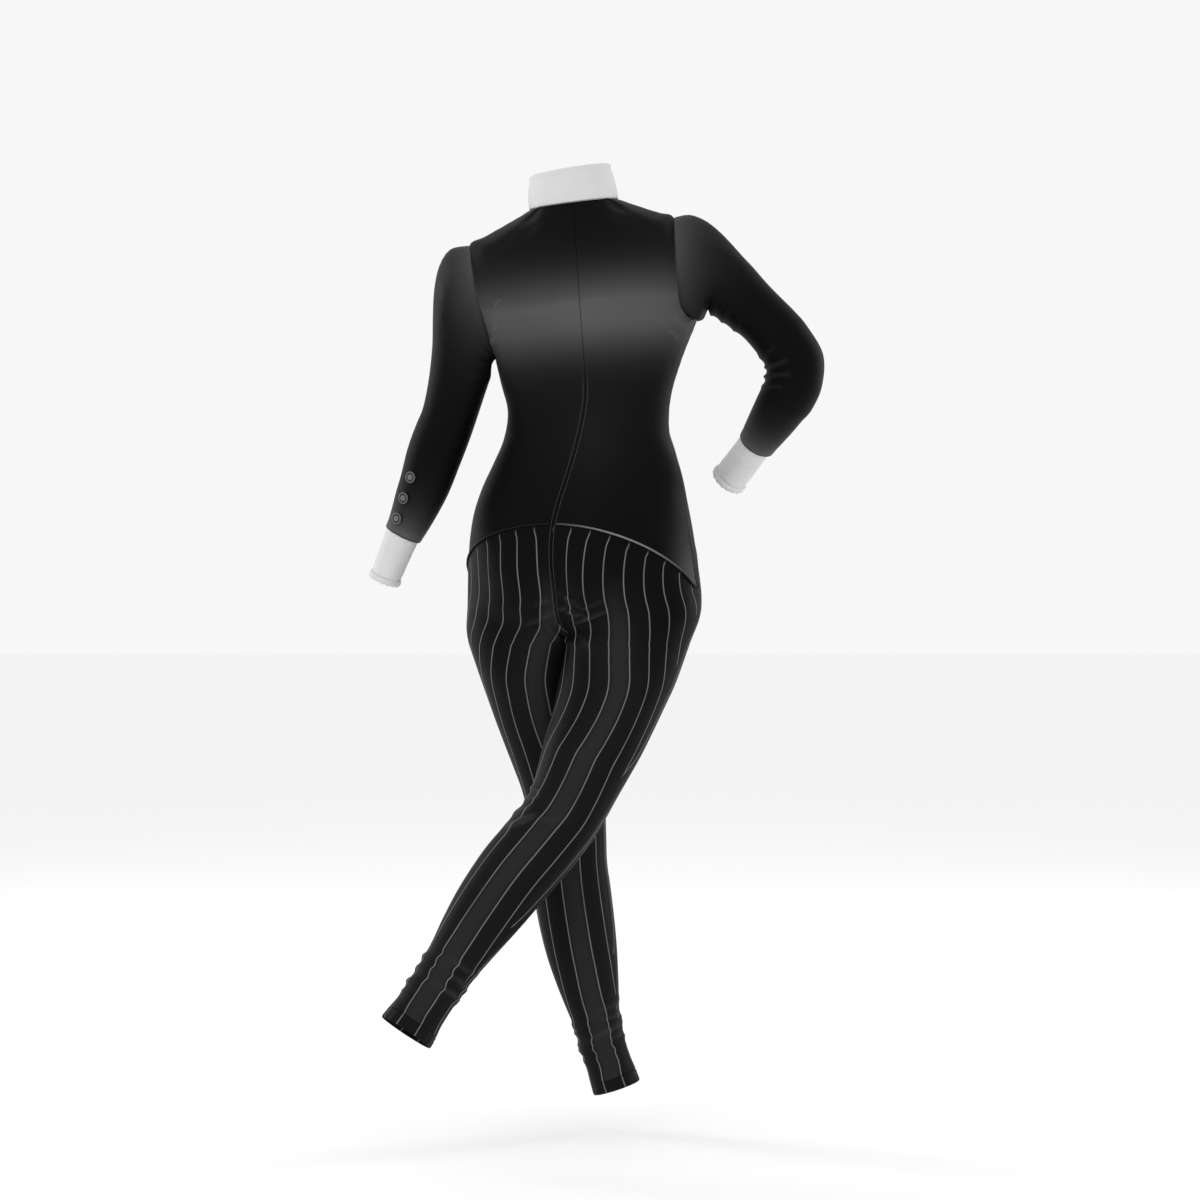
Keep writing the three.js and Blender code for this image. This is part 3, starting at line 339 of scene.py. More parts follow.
class Cloth:
    """A fine surface over a coarse grid: its points, normals and distances along the cloth."""

    def __init__(self, grid, axis, left=None, right=None, top=None, bottom=None, closed=False,
                 spacing=4.5 * MM, fine=""):
        rows, columns = grid.shape[:2]
        across = np.linalg.norm(np.diff(grid, axis=1), axis=2).mean(0)
        down = np.linalg.norm(np.diff(grid, axis=0), axis=2).mean(1)
        if closed:
            wrap = np.linalg.norm(grid[:, 0] - grid[:, -1], axis=1).mean()
            across = np.append(across, wrap)
        self.us = samples(across, spacing, "l" in fine, "r" in fine)
        self.vs = samples(down, spacing, "t" in fine, "b" in fine)
        if closed:
            self.us = self.us[:-1]
            wide = grid
        else:
            wide = with_ends(grid, left, right, 1)
            top, bottom = (None if line is None else with_ends(line, axis=0)
                           for line in (top, bottom))
        full = with_ends(wide, top, bottom, 0)
        wu, du = (spline(columns, self.us, closed, s) for s in (False, True))
        wv, dv = (spline(rows, self.vs, False, s) for s in (False, True))
        mix = lambda a, b: np.einsum("vr,rcx,uc->vux", a, full, b)
        self.points = mix(wv, wu)
        out = np.cross(mix(wv, du), mix(dv, wu))
        out = unit(out)
        middle = wv @ with_ends(axis, axis=0)
        if ((self.points - middle[:, None]) * out).sum() < 0:
            out = -out
        self.normals, self.closed = out, closed
        self.measure()

    def measure(self):
        p = self.points
        steps = np.linalg.norm(np.diff(p, axis=1), axis=2)
        self.along_row = np.concatenate([np.zeros((len(p), 1)), np.cumsum(steps, 1)], 1)
        self.to_end = self.along_row[:, -1:] - self.along_row
        steps = np.linalg.norm(np.diff(p, axis=0), axis=2)
        self.down = np.concatenate([np.zeros((1, p.shape[1])), np.cumsum(steps, 0)], 0)
        self.up = self.down[-1:] - self.down
        self.angle = (2 * np.pi * self.us / (self.us[-1] + self.us[1]))[None, :] + 0 * self.down

    def raise_by(self, amount):
        self.points = self.points + self.normals * amount[..., None]

    def part(self, rows):
        """The same surface, cut down to some of its rows."""
        piece = copy.copy(self)
        for key in ("points", "normals", "along_row", "to_end", "down", "up", "angle"):
            setattr(piece, key, getattr(self, key)[rows])
        return piece

    def area(self):
        points = self.points
        if self.closed:
            points = np.concatenate([points, points[:, :1]], 1)
        a = np.diff(points, axis=0)[:, :-1]
        b = np.diff(points, axis=1)[:-1]
        return float(np.linalg.norm(np.cross(a, b), axis=2).sum())

    def piece(self, name, material, thick=FABRIC, across=None, fields=None, slot=None, split=()):
        """A closed shell: the surface, its lining and rounded edges between them. split names the
        ends (0 or -1) where the same cloth goes on in another piece."""
        rows, columns = self.points.shape[:2]
        layers = [self.points, self.points - self.normals * thick]
        verts = [layer.reshape(-1, 3) for layer in layers]
        n = rows * columns
        at = np.arange(n).reshape(rows, columns)
        ring = np.concatenate([at, at[:, :1]], 1) if self.closed else at
        corners = [ring[:-1, :-1], ring[:-1, 1:], ring[1:, 1:], ring[1:, :-1]]
        quads = [np.stack(corners, -1).reshape(-1, 4)]
        quads.append(quads[0][:, ::-1] + n)
        borders = [ring[0], ring[-1][::-1]]
        if not self.closed:
            borders = [np.concatenate([at[0], at[1:, -1], at[-1, -2::-1], at[-2::-1, 0]])]
        made, source = 2 * n, [np.arange(n), np.arange(n)]
        middle = self.points[(rows - 1) // 2].mean(0)
        turn = lambda v: np.roll(v, -1)
        for border in borders:
            loop = border[:-1]
            outer, inner = verts[0][loop], verts[1][loop]
            nearby = (outer + inner) / 2
            ahead = np.roll(nearby, -1, 0) - np.roll(nearby, 1, 0)
            outward = unit(np.cross(ahead, outer - inner))
            if (outward * (nearby - middle)).sum() < 0:
                outward = -outward
            verts.append(nearby + outward * thick * 0.4)
            source.append(loop)
            edge = made + np.arange(len(loop))
            made += len(loop)
            quads.append(np.stack([turn(loop), loop, edge, turn(edge)], -1))
            quads.append(np.stack([turn(edge), edge, loop + n, turn(loop + n)], -1))
        verts = np.concatenate(verts)
        faces = np.concatenate(quads)
        a, b, c = (verts[faces[:50, k]] for k in range(3))
        if (np.cross(b - a, c - a) * self.normals.reshape(-1, 3)[faces[:50, 0]]).sum() < 0:
            faces = faces[:, ::-1]
        obj = mesh_object(name, verts, faces, material)
        source = np.concatenate(source)
        mesh = obj.data
        if split:
            sharp = mesh.attributes.new("sharp_edge", "BOOLEAN", "EDGE")
            ends = np.zeros(2 * len(mesh.edges), np.int32)
            mesh.edges.foreach_get("vertices", ends)
            joined = np.isin(ends, np.concatenate([at[i] for i in split]))
            sharp.data.foreach_set("value", joined.reshape(-1, 2).all(1))
        across = self.along_row if across is None else across
        uv = np.stack([across.reshape(-1)[source], self.down.reshape(-1)[source]], 1)
        uv = at_corners(mesh, uv).reshape(-1, 4, 2)
        if self.closed:
            whole = 2 * self.along_row.max() - self.along_row[:, -2].max()
            wraps = np.ptp(uv[..., 0], axis=1) > whole / 2
            uv[wraps, :, 0] += np.where(uv[wraps, :, 0] < whole / 2, whole, 0)
        write_uv(mesh, uv)
        for key, values in (fields or {}).items():
            write_field(mesh, key, np.broadcast_to(values, (rows, columns)).reshape(-1)[source])
        return obj


def at_corners(mesh, values):
    """Values given for each point, for each face corner instead."""
    index = np.zeros(len(mesh.loops), np.int32)
    mesh.loops.foreach_get("vertex_index", index)
    return values[index]


def write_uv(mesh, uv):
    layer = mesh.uv_layers.new(name="UVMap")
    layer.data.foreach_set("uv", uv.astype(np.float32).reshape(-1))


def write_field(mesh, name, values):
    field = mesh.attributes.new(name, "FLOAT", "POINT")
    field.data.foreach_set("value", np.asarray(values, np.float32))


def tube_faces(rings, around):
    """The squares between rings of points that follow one another."""
    return [[i * around + k, i * around + (k + 1) % around, (i + 1) * around + (k + 1) % around,
             (i + 1) * around + k] for i in range(rings - 1) for k in range(around)]


def rings_round(line, radius, first, second, around):
    """Rings of points round a line, each spanned by two directions."""
    turns = np.linspace(0, 2 * np.pi, around, endpoint=False)
    return line[:, None] + radius * (np.cos(turns)[None, :, None] * first[:, None]
                                     + np.sin(turns)[None, :, None] * second[:, None])


def stand_in(obj, body, *nodes):
    """The piece rides on a body, in place of these nodes."""
    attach(obj, body)
    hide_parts(*nodes)


def mesh_object(name, verts, faces, material):
    mesh = bpy.data.meshes.new(name)
    mesh.from_pydata(np.asarray(verts).tolist(), [], [[int(i) for i in f] for f in faces])
    mesh.shade_smooth()
    mesh.materials.append(material)
    mesh.update()
    obj = bpy.data.objects.new(name, mesh)
    bpy.context.scene.collection.objects.link(obj)
    return obj


def bell(value, middle, width):
    return np.exp(-((value - middle) / width) ** 2)


def turned(angle, to):
    """How far round a tube an angle is from another, from -pi to pi."""
    return (angle - to + np.pi) % (2 * np.pi) - np.pi


def folds(along, angle, items):
    """Creases: (place along, angle round, spread round, and in mm width, height, slant)."""
    total = np.zeros_like(along)
    for place, round_at, spread, *sizes in items:
        width, height, slant = (v * MM for v in sizes)
        off = turned(angle, round_at)
        line = along - place - slant * off - 0.0012 * np.sin(5.3 * off + 37 * place)
        total += height * bell(line, 0, width) * bell(off, 0, spread)
    return total


# ---- materials
class Shader:
    """A small writer of material nodes."""

    def __init__(self, name):
        self.material = bpy.data.materials.new(name)
        self.material.use_nodes = True
        self.tree = self.material.node_tree
        self.main = self.tree.nodes["Principled BSDF"]

    def put(self, socket, value):
        if isinstance(value, bpy.types.NodeSocket):
            self.tree.links.new(value, socket)
        else:
            socket.default_value = value

    def node(self, kind, out=0, settings=None, **inputs):
        node = self.tree.nodes.new("ShaderNode" + kind)
        for key, value in (settings or {}).items():
            setattr(node, key, value)
        for key, value in inputs.items():
            name = key.replace("_", " ")
            self.put(node.inputs[int(name[1:]) if name[1:].isdigit() else name], value)
        return node.outputs[out]

    def math(self, operation, *values, clamp=False):
        node = self.tree.nodes.new("ShaderNodeMath")
        node.operation, node.use_clamp = operation, clamp
        for socket, value in zip(node.inputs, values):
            self.put(socket, value)
        return node.outputs[0]

    def times(self, a, b):
        return self.math("MULTIPLY", a, b)

    def plus(self, a, b):
        return self.math("ADD", a, b)

    def step(self, value, low, high):
        """0 below low and 1 above high, or the other way round, smoothly."""
        return self.node("MapRange", settings={"interpolation_type": "SMOOTHSTEP"}, Value=value,
                         From_Min=low, From_Max=high)

    def field(self, name):
        return self.node("Attribute", 2, settings={"attribute_name": name})

    def along(self):
        """The two distances along the cloth, in metres."""
        uv = self.node("UVMap")
        parts = self.tree.nodes.new("ShaderNodeSeparateXYZ")
        self.tree.links.new(uv, parts.inputs[0])
        return uv, parts.outputs[0], parts.outputs[1]

    def noise(self, vector, scale, detail=2.0):
        return self.node("TexNoise", Vector=vector, Scale=scale, Detail=detail)

    def mix(self, factor, a, b):
        node = self.tree.nodes.new("ShaderNodeMix")
        node.data_type = "RGBA"
        self.put(node.inputs[0], factor)
        self.put(node.inputs[6], a)
        self.put(node.inputs[7], b)
        return node.outputs[2]

    def bump(self, height, distance, strength=1.0, normal=None):
        node = self.tree.nodes.new("ShaderNodeBump")
        self.put(node.inputs["Height"], height)
        node.inputs["Distance"].default_value = distance
        node.inputs["Strength"].default_value = strength
        if normal is not None:
            self.put(node.inputs["Normal"], normal)
        return node.outputs[0]

    def waves(self, value, pitch):
        return self.math("SINE", self.times(value, 2 * math.pi / pitch))

    def finish(self, colour, rough, normal, values):
        """Links what varies over the surface; values go on the shader's own sockets."""
        for socket, value in (("Base Color", colour), ("Roughness", rough), ("Normal", normal)):
            self.put(self.main.inputs[socket], value)
        for socket, value in values.items():
            self.main.inputs[socket].default_value = value
        return self.material


def grey(value, warm=0.0):
    return (value * (1 + warm), value, value * (1 - warm), 1)


def jersey(name, base, print_and_highlight, rough=0.5, sheen=0.01, stripes=None, knit=0.9 * MM, thread=0.1):
    """Stretch jersey: a fine knit, a printed shade with painted highlights, a painted seam
    shadow, stitched seams and perhaps pinstripes.
    """
    s = Shader(name)
    uv, across, down = s.along()
    cloudy = s.noise(uv, 9.0, 4.0)
    # The shade field mixes in this tone: the printed bands, and painted highlights on fold crests
    # and seam ridges.
    colour = s.mix(s.field("shade"), grey(base), grey(print_and_highlight, -0.012))
    if stripes is not None:
        turn = s.math("FRACT", s.math("DIVIDE", across, STRIPE_PITCH))
        off = s.times(s.math("ABSOLUTE", s.math("SUBTRACT", turn, 0.5)), STRIPE_PITCH)
        line = s.step(off, 1.15 * MM, 0.75 * MM)
        broken = s.plus(0.72, s.times(s.waves(down, 2.4 * MM), 0.14))
        worn = s.times(s.step(s.noise(uv, 14.0), 0.25, 0.6), 0.3)
        strength = s.math("MULTIPLY", line, s.plus(broken, worn), clamp=True)
        colour = s.mix(s.times(strength, s.field("stripe")), colour, grey(stripes, -0.01))
    seam = s.field("seam")
    shadow = s.step(seam, 0.9 * MM, 0.1 * MM)
    colour = s.mix(s.times(shadow, 0.75), colour, grey(base * 0.3))
    near = s.step(s.math("ABSOLUTE", s.math("SUBTRACT", seam, STITCH_AT)), 0.55 * MM, 0.25 * MM)
    stitch = s.step(s.waves(down, 2.8 * MM), -0.55, -0.1)
    sewn = s.times(near, s.times(stitch, s.field("sewn")))
    colour = s.mix(s.times(sewn, 0.8), colour, grey(thread))
    tone = s.node("HueSaturation", Color=colour,
                  Value=s.plus(0.86, s.times(cloudy, 0.28)))
    loops = s.plus(s.math("ABSOLUTE", s.waves(across, 2 * knit)),
                   s.times(s.waves(down, knit * 0.8), 0.5))
    height = s.plus(s.times(loops, 0.35), s.times(sewn, 2.2))
    soft = s.bump(s.noise(uv, 55.0, 3.0), 0.6 * MM, 0.35)
    return s.finish(tone, s.plus(rough - 0.06, s.times(cloudy, 0.12)),
                    s.bump(height, 0.12 * MM, 0.6, soft),
                    {"Sheen Weight": sheen, "Sheen Roughness": 0.35, "Specular IOR Level": 0.045})


def satin(name, base, rough=0.28, ribs=0.7 * MM, gloss=0.22, painted_highlight=None):
    """A twill with a soft gloss; where it has a painted highlight tone, the shade field mixes it
    in.
    """
    s = Shader(name)
    uv, across, down = s.along()
    colour = s.mix(s.noise(uv, 30.0), grey(base * 0.8), grey(base * 1.25, -0.01))
    if painted_highlight is not None:
        # Painted highlight: lighter where the shade field is high.
        colour = s.mix(s.field("shade"), colour, grey(painted_highlight))
    twill = s.waves(s.plus(across, s.times(down, 0.6)), ribs)
    return s.finish(colour, s.plus(rough, s.times(s.noise(uv, 70.0), 0.1)),
                    s.bump(twill, 0.05 * MM, 0.5), {"Specular IOR Level": gloss})


def metal(name, colour, rough):
    s = Shader(name)
    grain = s.noise(s.node("TexCoord", 3), 900.0, 2.0)
    dark = tuple(c * 0.82 for c in colour[:3]) + (1,)
    return s.finish(s.mix(grain, colour, dark), s.plus(rough, s.times(grain, 0.15)),
                    s.bump(grain, 0.03 * MM, 0.4), {"Metallic": 1})


def plastic(name, base, rough=0.35, field=None, ring=None):
    """Moulded plastic; where a field is given, it mixes in a second colour, used on the buttons
    as painted shade.
    """
    s = Shader(name)
    where = s.node("TexCoord", 3)
    speck = s.noise(where, 260.0, 3.0)
    colour = s.mix(speck, grey(base * 0.85), grey(base * 1.12))
    if field:
        colour = s.mix(s.field(field), colour, ring)
    return s.finish(colour, s.plus(rough - 0.05, s.times(speck, 0.1)),
                    s.bump(s.noise(where, 700.0, 2.0), 0.02 * MM, 0.4), {})


BLACK = jersey("black_jersey", 0.0024, 0.088)
PINSTRIPE = jersey("pinstripe_jersey", 0.0024, 0.088, stripes=0.15)
WHITE = jersey("white_jersey", 0.66, 0.5, rough=0.8, thread=0.55)
SATIN = satin("lapel_satin", 0.005)
# The hem piping in two copies: the right one with a painted highlight, the left one darker as
# painted shade.
PIPING = satin("piping_satin", 0.012, 0.4, gloss=0.1, painted_highlight=0.2)
SHADED_PIPING = satin("dark_piping_satin", 0.006, 0.4, gloss=0.08)
# The buttons' groove, side and underside take the near-black as painted shade.
BUTTON = plastic("button_plastic", 0.11, 0.3, "ring", grey(0.006))
NYLON = plastic("zip_nylon", 0.72, 0.4)
NICKEL = metal("nickel", (0.62, 0.62, 0.64, 1), 0.22)
PLAIN = {"shade": 0.0, "seam": 1.0, "sewn": 0.0}   # fields of a cloth with no print or seam


# ---- the body panels
ROWS, COLUMNS = 20, 8
TIP, UNDERARM = 4, 11             # rows of the shoulder tip and of the underarm
FRONT_MEETS = 16                  # from this row down the two fronts meet
HIP_ROWS = 7                      # rows above the jacket hem that are smoothed with the legs
LEG_ROWS, SEAT_ROWS = 30, 12      # below row SEAT_ROWS each leg is a tube of its own


def meet(a, b):
    """Makes two lines of points, given as views, one line halfway between them."""
    middle = (a + b) / 2
    a[...] = middle
    b[...] = middle


back = {s: panel(f"bodice_back_{s}", ROWS, COLUMNS) for s in SIDES}
front = {s: panel(f"bodice_front_{s}", ROWS, COLUMNS) for s in SIDES}
leg_back = {s: panel(f"legging_back_{s}", LEG_ROWS, COLUMNS) for s in SIDES}
leg_front = {s: panel(f"legging_front_{s}", LEG_ROWS, COLUMNS) for s in SIDES}

# Worn on the body, the cloth pulls up with the raised arm and follows the bend of the back. The
# panels are moved a little for that; the leggings are smoothed where the pelvis meets the thighs.
UNDERARM_PULL = {"left": (15 * MM, 4 * MM), "right": (29 * MM, 29 * MM)}
TIP_PULL = {"left": (-12 * MM, -5 * MM), "right": (0, 0)}


def settled(points):
    """Points after the small shift that the bent spine gives the back of the garment."""
    y, z = points[..., 1], points[..., 2]
    side = np.interp(z, [-0.62, -0.54, -0.44, -0.24, -0.14], [0, 1 * MM, 1.5 * MM, 1.5 * MM, 0])
    drop = np.interp(z, [-0.22, -0.10], [0, -4.5 * MM])
    moved = points.copy()
    moved[..., 0] += side * np.interp(y, [0, 0.06], [1, 0])
    moved[..., 2] += drop * np.interp(y, [-0.01, 0.05], [1, 0])
    return moved


def fit_armhole(s):
    rows = np.arange(ROWS)
    reach = np.array([0, 0, 0, 0.05, 0.15, 0.35, 0.65, 1.0])
    under = np.interp(rows, [6, 8, 9, 10, 11, 12, 13, 14], [0, 0.2, 0.45, 0.75, 1, 0.5, 0.2, 0])
    tip = np.interp(rows, [1, 4, 6, 8], [0, 1, 0.6, 0])
    for grid in (back[s], front[s]):
        grid[..., 0] += (under * UNDERARM_PULL[s][0] + tip * TIP_PULL[s][0])[:, None] * reach
        grid[..., 2] += (under * UNDERARM_PULL[s][1] + tip * TIP_PULL[s][1])[:, None] * reach


def smooth_hips(top, leg):
    """Evens out how far the cloth stands forward and back, from the jacket hem to the thigh."""
    column = np.concatenate([top[-1 - HIP_ROWS:-1], leg])
    steps = np.linalg.norm(np.diff(column, axis=0), axis=2)
    run = np.concatenate([np.zeros((1, COLUMNS)), np.cumsum(steps, 0)])
    for k in range(COLUMNS):
        near = np.exp(-((run[:, None, k] - run[None, :, k]) / 0.045) ** 2)
        even = near @ column[:, k, 1] / near.sum(1)
        z = column[:, k, 2]
        share = np.interp(z, [-0.92, -0.80, -0.62, -0.50], [0, 1, 1, 0])
        column[:, k, 1] += share * (even - column[:, k, 1])
    top[-1 - HIP_ROWS:-1], leg[:] = column[:HIP_ROWS], column[HIP_ROWS:]


for s in SIDES:
    fit_armhole(s)
    smooth_hips(back[s], leg_back[s])
    turned_front = front[s][:, ::-1].copy()
    smooth_hips(turned_front, leg_front[s])
    front[s][:] = turned_front[:, ::-1]
    for grids in (back, front, leg_back, leg_front):
        grids[s] = settled(grids[s])

meet(back["left"][:, 0], back["right"][:, 0])
meet(front["left"][FRONT_MEETS:, 0], front["right"][FRONT_MEETS:, 0])
meet(leg_back["left"][:SEAT_ROWS, 0], leg_back["right"][:SEAT_ROWS, 0])
meet(leg_front["left"][:SEAT_ROWS, -1], leg_front["right"][:SEAT_ROWS, -1])
for s in SIDES:
    meet(back[s][:TIP + 1, -1], front[s][:TIP + 1, -1])
    meet(back[s][UNDERARM:, -1], front[s][UNDERARM:, -1])
    meet(leg_back[s][:, -1], leg_front[s][:, 0])
    meet(leg_back[s][SEAT_ROWS:, 0], leg_front[s][SEAT_ROWS:, -1])
    meet(back[s][-1], leg_back[s][0])
    meet(front[s][-1], leg_front[s][0][::-1])


def beyond(grid, own, inner, other, rows):
    """A line past a panel's edge: its own surface carried on, and its neighbour's inner
    line on the rows where the two are sewn together."""
    line = 2 * grid[:, own] - grid[:, inner]
    line[rows] = other[rows]
    return line


shoulder_and_side = np.r_[0:TIP + 1, UNDERARM:ROWS]


def soft_steps(value, low, high):
    t = np.clip((value - low) / (high - low), 0, 1)
    return t * t * (3 - 2 * t)


def strokes(points, items):
    """Creases on straight lines seen from the back: (x, z) at both ends, mm wide and high."""
    place = points[..., [0, 2]]
    total = np.zeros(place.shape[:-1])
    for a, b, width, height in items:
        a, b, width, height = np.array(a), np.array(b), width * MM, height * MM
        run = b - a
        t = np.clip(((place - a) @ run) / (run @ run), 0, 1)
        off = np.linalg.norm(place - a - t[..., None] * run, axis=-1)
        fade = 1 - np.abs(2 * t - 1) ** 3
        total += height * bell(off, 0, width) * (0.25 + 0.75 * fade)
    return total


def puckers(distance, along, pitch=9 * MM, height=0.22 * MM, reach=7 * MM, phase=0.0):
    """Small gathers beside a seam."""
    turns = 2 * np.pi * along / pitch
    wave = np.sin(turns + phase) + 0.6 * np.sin(turns / 1.7 + 1.3)
    return height * wave * np.clip(distance / (1.5 * MM), 0, 1) * np.exp(-distance / reach)


def middle_of(*grids):
    return sum(g.mean(1) for g in grids) / len(grids)


def ripples(arc, *waves):
    """Waves round a closed band, a whole number of each: (pitch, share, phase)."""
    whole = arc.max()
    return sum(share * np.sin(2 * np.pi * arc / whole * round(whole / pitch) + phase)
               for pitch, share, phase in waves)


def declare(cloth, flat=None):
    """Works out a cut panel's flat size and area, which are not used: the fabric stretches a
    little when it is worn, so its flat size is smaller.
    """
    area = cloth.area() * EASE
    if flat is None:
        flat = (cloth.along_row[:, -1].max() * EASE, cloth.down[-1].max() * EASE)
    width, length = flat
    area = min(max(area, 0.3 * width * length), width * length)


def build_bodice():
    for s in SIDES:
        o = OTHER[s]
        axis = middle_of(back[s], back[o], front[s], front[o])
        cloth = Cloth(back[s], axis, left=back[o][:, 1],
                      right=beyond(back[s], -1, -2, front[s][:, -2], shoulder_and_side),
                      bottom=leg_back[s][1], fine="lrtb")
        p, z = cloth.points, cloth.points[..., 2]
        lower = soft_steps(z, -0.25, -0.29)
        creases = strokes(p, BODICE_CREASES[s])
        hem = soft_steps(cloth.up, 14 * MM, 0)
        bumps = (rim_curve(cloth.along_row, 0.5) + rim_curve(cloth.to_end)
                 + rim_curve(cloth.down)
                 + ridge(cloth.along_row, STITCH_AT, 0.4 * MM) * lower
                 + puckers(cloth.along_row, z, phase=1.0) + puckers(cloth.to_end, z)
                 + 0.7 * MM * hem - 0.15 * MM * bell(cloth.up, 9 * MM, 1.2 * MM)
                 + creases)
        cloth.raise_by(bumps)
        # The printed band lies square to the spine, so it leans with the shoulders.
        band_z = z - BAND_LEAN * p[..., 0]
        sideways = 0.86 + 0.14 * soft_steps(p[..., 0], -0.1, 0.05)
        shade = bell(band_z, BAND_Z, BAND_HALF) * sideways
        shade += 0.05 * bell(band_z, BAND_Z - 0.02, 0.16)
        shade += 0.12 * bell(band_z, BAND_Z + 0.014, 9 * MM)
        shade += 0.05 * bell(z, -0.36, 0.07) * bell(p[..., 0], 0.03, 0.05)
        # Painted highlight on the crests of the creases.
        shade += 0.45 * np.clip(creases / MM, 0, 1) ** 2
        # Painted highlight: a thin light line along the ridge of the armhole seam.
        armhole = soft_steps(z, -0.245, -0.235) * soft_steps(cloth.vs, TIP - 0.5, TIP)[:, None]
        shade += 0.30 * armhole * bell(cloth.to_end, 1.6 * MM, 0.8 * MM)
        corner = soft_steps(cloth.to_end, 0.09, 0.0) * soft_steps(cloth.up, 0.1, 0.0)
        shade += (0.6 if s == "right" else 0.1) * corner * bell(z, -0.56, 0.06)
        seam = least(cloth.along_row, cloth.to_end + 0.4 * MM * armhole, cloth.down)
        obj = cloth.piece(f"bodice_back_{s}_cloth", BLACK, slot="bodice_fabric", fields={
            "shade": shade, "seam": seam, "sewn": lower * (cloth.along_row < SEWN_STRIP)})
        stand_in(obj, "root", f"bodice_back_{s}")
        declare(cloth)

        cloth_f = Cloth(front[s], axis,
                        left=beyond(front[s], 0, 1, front[o][:, 1], slice(FRONT_MEETS, None)),
                        right=beyond(front[s], -1, -2, back[s][:, -2], shoulder_and_side),
                        bottom=leg_front[s][1][::-1], fine="lrtb")
        p, z = cloth_f.points, cloth_f.points[..., 2]
        hem = soft_steps(cloth_f.up, 14 * MM, 0)
        meets = soft_steps(z, -0.30, -0.31)
        bumps = (rim_curve(cloth_f.to_end) + rim_curve(cloth_f.down)
                 + rim_curve(cloth_f.along_row, 0.5) * meets
                 + puckers(cloth_f.to_end, z) + 0.7 * MM * hem
                 - 0.15 * MM * bell(cloth_f.up, 9 * MM, 1.2 * MM))
        cloth_f.raise_by(bumps)
        shade = 0.5 * bell(z - BAND_LEAN * p[..., 0], BAND_Z, BAND_HALF)
        seam = np.minimum(cloth_f.to_end, cloth_f.down)
        obj = cloth_f.piece(f"bodice_front_{s}_cloth", BLACK, slot="bodice_fabric", fields={
            "shade": shade, "seam": seam, "sewn": 0.0})
        stand_in(obj, "root", f"bodice_front_{s}")
        declare(cloth_f)
        build_piping(s, cloth)


BAND_Z, BAND_HALF, BAND_LEAN = -0.176, 0.052, 0.09
BODICE_CREASES = {
    "left": [((-0.112, -0.150), (-0.121, -0.163), 2.2, 1.1),
             ((-0.114, -0.168), (-0.124, -0.184), 2.4, 1.2),
             ((-0.117, -0.188), (-0.128, -0.203), 2.4, 1.1),
             ((-0.121, -0.206), (-0.134, -0.222), 2.6, 1.2),
             ((-0.128, -0.226), (-0.140, -0.246), 3.0, 1.2)],
    "right": [((0.150, -0.176), (0.166, -0.190), 3.0, 0.9),
              ((0.140, -0.196), (0.162, -0.212), 3.2, 0.9)],
}


def build_piping(side, cloth):
    """A satin cord along the jacket hem, from the centre back to the side seam."""
    radius = 1.5 * MM
    line = cloth.points[-1] + cloth.normals[-1] * 0.9 * MM
    out = cloth.normals[-1]
    keep = (cloth.along_row[-1] > 5 * MM) & (cloth.to_end[-1] > 4 * MM)
    line, out, run = line[keep], out[keep], cloth.along_row[-1][keep]
    ahead = unit(np.gradient(line, axis=0))
    below = np.cross(ahead, out)
    if below[:, 2].mean() > 0:
        below = -below
    rings = rings_round(line + radius * 0.7 * below, radius, out, below, 12)
    verts = np.concatenate([rings.reshape(-1, 3), line[[0]] - ahead[[0]] * radius,
                            line[[-1]] + ahead[[-1]] * radius])
    n, m = rings.shape[:2]
    faces = tube_faces(n, m)
    faces += [[(k + 1) % m, k, n * m] for k in range(m)]
    faces += [[(n - 1) * m + k, (n - 1) * m + (k + 1) % m, n * m + 1] for k in range(m)]
    # The right cord takes the lit copy of the satin, the left cord the shaded copy.
    obj = mesh_object(f"hem_piping_{side}_cord", verts, faces,
                      PIPING if side == "right" else SHADED_PIPING)
    arc = np.arange(m) * 2 * np.pi / m * radius
    uv = np.stack(np.broadcast_arrays(arc[None, :], run[:, None]), -1).reshape(-1, 2)
    uv = np.concatenate([uv, [[0, 0], [0, run[-1]]]])
    write_uv(obj.data, at_corners(obj.data, uv))
    # Painted highlight: the cord is lighter towards the middle of its run.
    write_field(obj.data, "shade", bell(uv[:, 1] / run[-1], 0.45, 0.33))
    stand_in(obj, "root", f"hem_piping_{side}")


